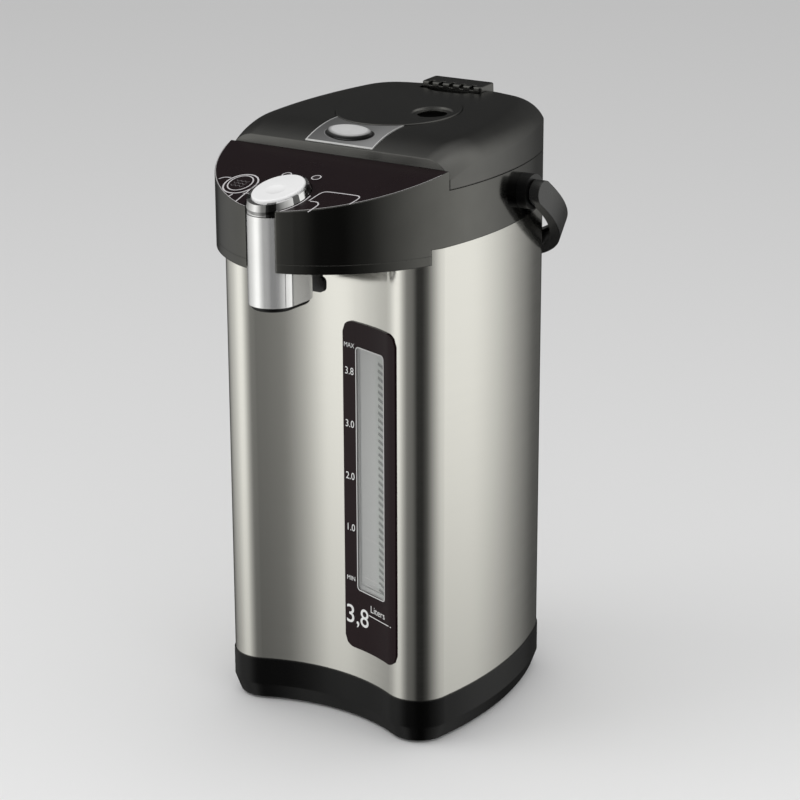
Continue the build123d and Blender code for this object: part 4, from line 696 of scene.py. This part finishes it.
levels = [stroke([(26.0, z + 0.6), (40.5, z)], 0.35) for z in (123.0, 97.5, 93.0)]
place("level_lines", printed(levels, on_face, LINE_LIFT), "pot", glass_rim)

# ---------------------------------------------------------------- cap spring, copied to a piece of its own on the pot
coil = bpy.data.objects.new("cap_coil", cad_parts["cap_spring"].data.copy())
bpy.context.scene.collection.objects.link(coil)
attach(coil, "pot")
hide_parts("cap_spring")
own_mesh(coil)

# ---------------------------------------------------------------- figures on the window plate
PLATE_LIFT = PLATE_PROUD + 0.06
LEVEL_X = 14.8
for label, z in (("3.8", 226.0), ("3.0", 193.1), ("2.0", 160.2), ("1.0", 127.4)):
    mark = figure(label, 4.6, (LEVEL_X, z), on_face, PLATE_LIFT, 0.95, 0.004)
    place("level_" + label[0] + "_mark", mark, "pot", print_white)
for label, z in (("MAX", 242.0), ("MIN", 94.5)):
    mark = figure(label, 3.0, (LEVEL_X, z), on_face, PLATE_LIFT, 0.95)
    place("level_" + label.lower(), mark, "pot", print_white)
capacity = figure("3,8", 12.2, (20.0, 70.5), on_face, PLATE_LIFT, 0.98, 0.035)
place("capacity_figure", capacity, "pot", print_white)
unit = figure("Liters", 4.6, (38.4, 79.0), on_face, PLATE_LIFT, 0.98)
place("capacity_unit", unit, "pot", print_white)
underline = printed([stroke([(29.8, 74.6), (51.5, 74.6)], 0.55)], on_face, PLATE_LIFT)
place("capacity_line", underline, "pot", print_white)

# ---------------------------------------------------------------- studio
CAMERA_PLACE = (0.820, -1.1867, 0.66174)
FOCAL_LENGTH = 111.07
AZIMUTH, ELEVATION, ROLL = math.radians(34.19), math.radians(18.09), math.radians(-0.19)
# Painted light on the floor: its grey near the camera and far off, by distance in metres along its
# view
FLOOR_NEAR, FLOOR_FAR = 0.86, 0.575
NEAR_DISTANCE, FAR_DISTANCE = 1.28, 4.2
LEAST_DISTANCE = 0.5

# Floor painted lighter near the camera and darker far off, as light that falls off with distance
floor_nodes = Nodes("studio_floor").set(rough=0.9, specular=0.1)
look_x, look_y = -math.sin(AZIMUTH), math.cos(AZIMUTH)
along = floor_nodes.math("ADD", floor_nodes.math("MULTIPLY", floor_nodes.axis("X"), look_x),
                         floor_nodes.math("MULTIPLY", floor_nodes.axis("Y"), look_y))
camera_along = look_x * CAMERA_PLACE[0] + look_y * CAMERA_PLACE[1]
distance = floor_nodes.math("MAXIMUM", floor_nodes.math("SUBTRACT", along, camera_along),
                            LEAST_DISTANCE)
painted_falloff = floor_nodes.spread(floor_nodes.math("DIVIDE", 1.0, distance), 1 / FAR_DISTANCE,
                              1 / NEAR_DISTANCE, 0.0, 1.0)
floor_nodes.link(floor_nodes.mix(painted_falloff, (FLOOR_FAR,) * 3, (FLOOR_NEAR,) * 3), "Base Color")
bpy.ops.mesh.primitive_plane_add(size=30, location=(0, 0, 0))
floor = bpy.context.object
floor.name = "floor"
floor.data.materials.append(floor_nodes.material)
floor.visible_glossy = False

world = bpy.data.worlds.new("studio")
bpy.context.scene.world = world
world.use_nodes = True
sky = Tree(world.node_tree)
sky.tree.nodes.clear()
direction = sky.add("SeparateXYZ", Vector=sky.add("TexCoord").outputs["Generated"]).outputs
upward = direction["Z"]
bearing = sky.math("ARCTAN2", direction["X"], sky.math("MULTIPLY", direction["Y"], -1))
turn = sky.spread(bearing, -math.pi, math.pi, 0.0, 1.0)
# Bearing in degrees from the front (-Y) towards +X, and the studio's level there
STUDIO_BANDS = [(-180, 0.10), (-150, 0.03), (-125, 0.05), (-95, 0.42), (-68, 0.66), (-45, 1.0),
                (-32, 0.97), (-18, 0.52), (-5, 0.22), (5, 0.19), (14, 0.16), (20, 0.11),
                (28, 0.028), (46, 0.024), (62, 0.10), (80, 0.36), (104, 0.72), (128, 0.93),
                (140, 0.93), (152, 0.66), (165, 0.34), (180, 0.10)]
BAND_TINT = 0.975
bands = sky.ramp(turn, [((degrees + 180) / 360, level) for degrees, level in STUDIO_BANDS],
                 BAND_TINT)
# Height of the direction, from straight down (0) to straight up (1), and how much of the bands
# shows there
HEIGHT_LEVELS = [(0.0, 0.40), (0.17, 0.40), (0.26, 0.40), (0.2925, 0.56), (0.307, 0.67),
                 (0.335, 0.87), (0.364, 0.955), (1.0, 0.97)]
low = sky.ramp(sky.spread(upward, -1.0, 1.0, 0.0, 1.0), HEIGHT_LEVELS)
sides = sky.mix(1.0, bands, low, "MULTIPLY")
# Height above the horizon (0 to 1), and how much of the ceiling's tone shows there
CEILING_LEVELS = [(0.0, 0.0), (0.18, 0.015), (0.60, 0.05), (0.76, 0.25), (0.90, 0.58)]
CEILING_COLOR = (0.92, 0.92, 0.91)
ceiling = sky.ramp(sky.spread(upward, 0.0, 1.0, 0.0, 1.0), CEILING_LEVELS)
above = sky.mix(ceiling, sides, CEILING_COLOR)


def lit(color, strength):
    """Background of a colour, given as an output or as a tuple with its alpha."""
    return sky.add("Background", Color=color, Strength=strength).outputs[0]


def choose(factor, first, second):
    node = sky.add("MixShader")
    for value, socket in zip((factor, first, second), node.inputs):
        sky.join(value, socket)
    return node.outputs[0]


AMBIENT = 0.88
STUDIO_STRENGTH = 1.1
paths = sky.add("LightPath").outputs
ambient = lit((AMBIENT, AMBIENT, AMBIENT, 1), 1.0)
studio = lit(above, STUDIO_STRENGTH)
backdrop = lit(sky.spread(upward, -0.35, 0.05, 0.78, 0.50), 1.0)
glossy = choose(paths["Is Glossy Ray"], ambient, studio)
seen = choose(paths["Is Camera Ray"], glossy, backdrop)
sky.tree.links.new(seen, sky.add("OutputWorld").inputs["Surface"])


def softbox(name, location, target, size, power):
    lamp = bpy.data.lights.new(name, "AREA")
    lamp.shape = "RECTANGLE"
    lamp.size, lamp.size_y = size
    lamp.energy = power
    light = bpy.data.objects.new(name, lamp)
    light.location = location
    aim = Vector(target) - Vector(location)
    light.rotation_euler = aim.to_track_quat("-Z", "Y").to_euler()
    light.visible_glossy = False
    bpy.context.scene.collection.objects.link(light)


softbox("key", (-1.6, -1.4, 2.2), (0, 0, 0.15), (1.6, 1.6), 11)
softbox("fill", (1.8, -1.2, 1.2), (0, 0, 0.2), (1.5, 1.5), 3)

# ---------------------------------------------------------------- camera at the photograph's angle
ahead = Vector((-math.sin(AZIMUTH) * math.cos(ELEVATION), math.cos(AZIMUTH) * math.cos(ELEVATION),
                -math.sin(ELEVATION)))
right = Vector((math.cos(AZIMUTH), math.sin(AZIMUTH), 0))
up = right.cross(ahead)
right, up = (math.cos(ROLL) * right + math.sin(ROLL) * up,
             -math.sin(ROLL) * right + math.cos(ROLL) * up)
lens = bpy.data.cameras.new("camera")
lens.sensor_fit = "HORIZONTAL"
lens.sensor_width = 36.0
lens.lens = FOCAL_LENGTH
lens.clip_start = 0.05
camera = bpy.data.objects.new("camera", lens)
turned = Matrix((right, up, -ahead)).transposed().to_4x4()
camera.matrix_world = Matrix.Translation(CAMERA_PLACE) @ turned
bpy.context.scene.collection.objects.link(camera)
bpy.context.scene.camera = camera

bpy.context.scene.view_settings.view_transform = "Standard"
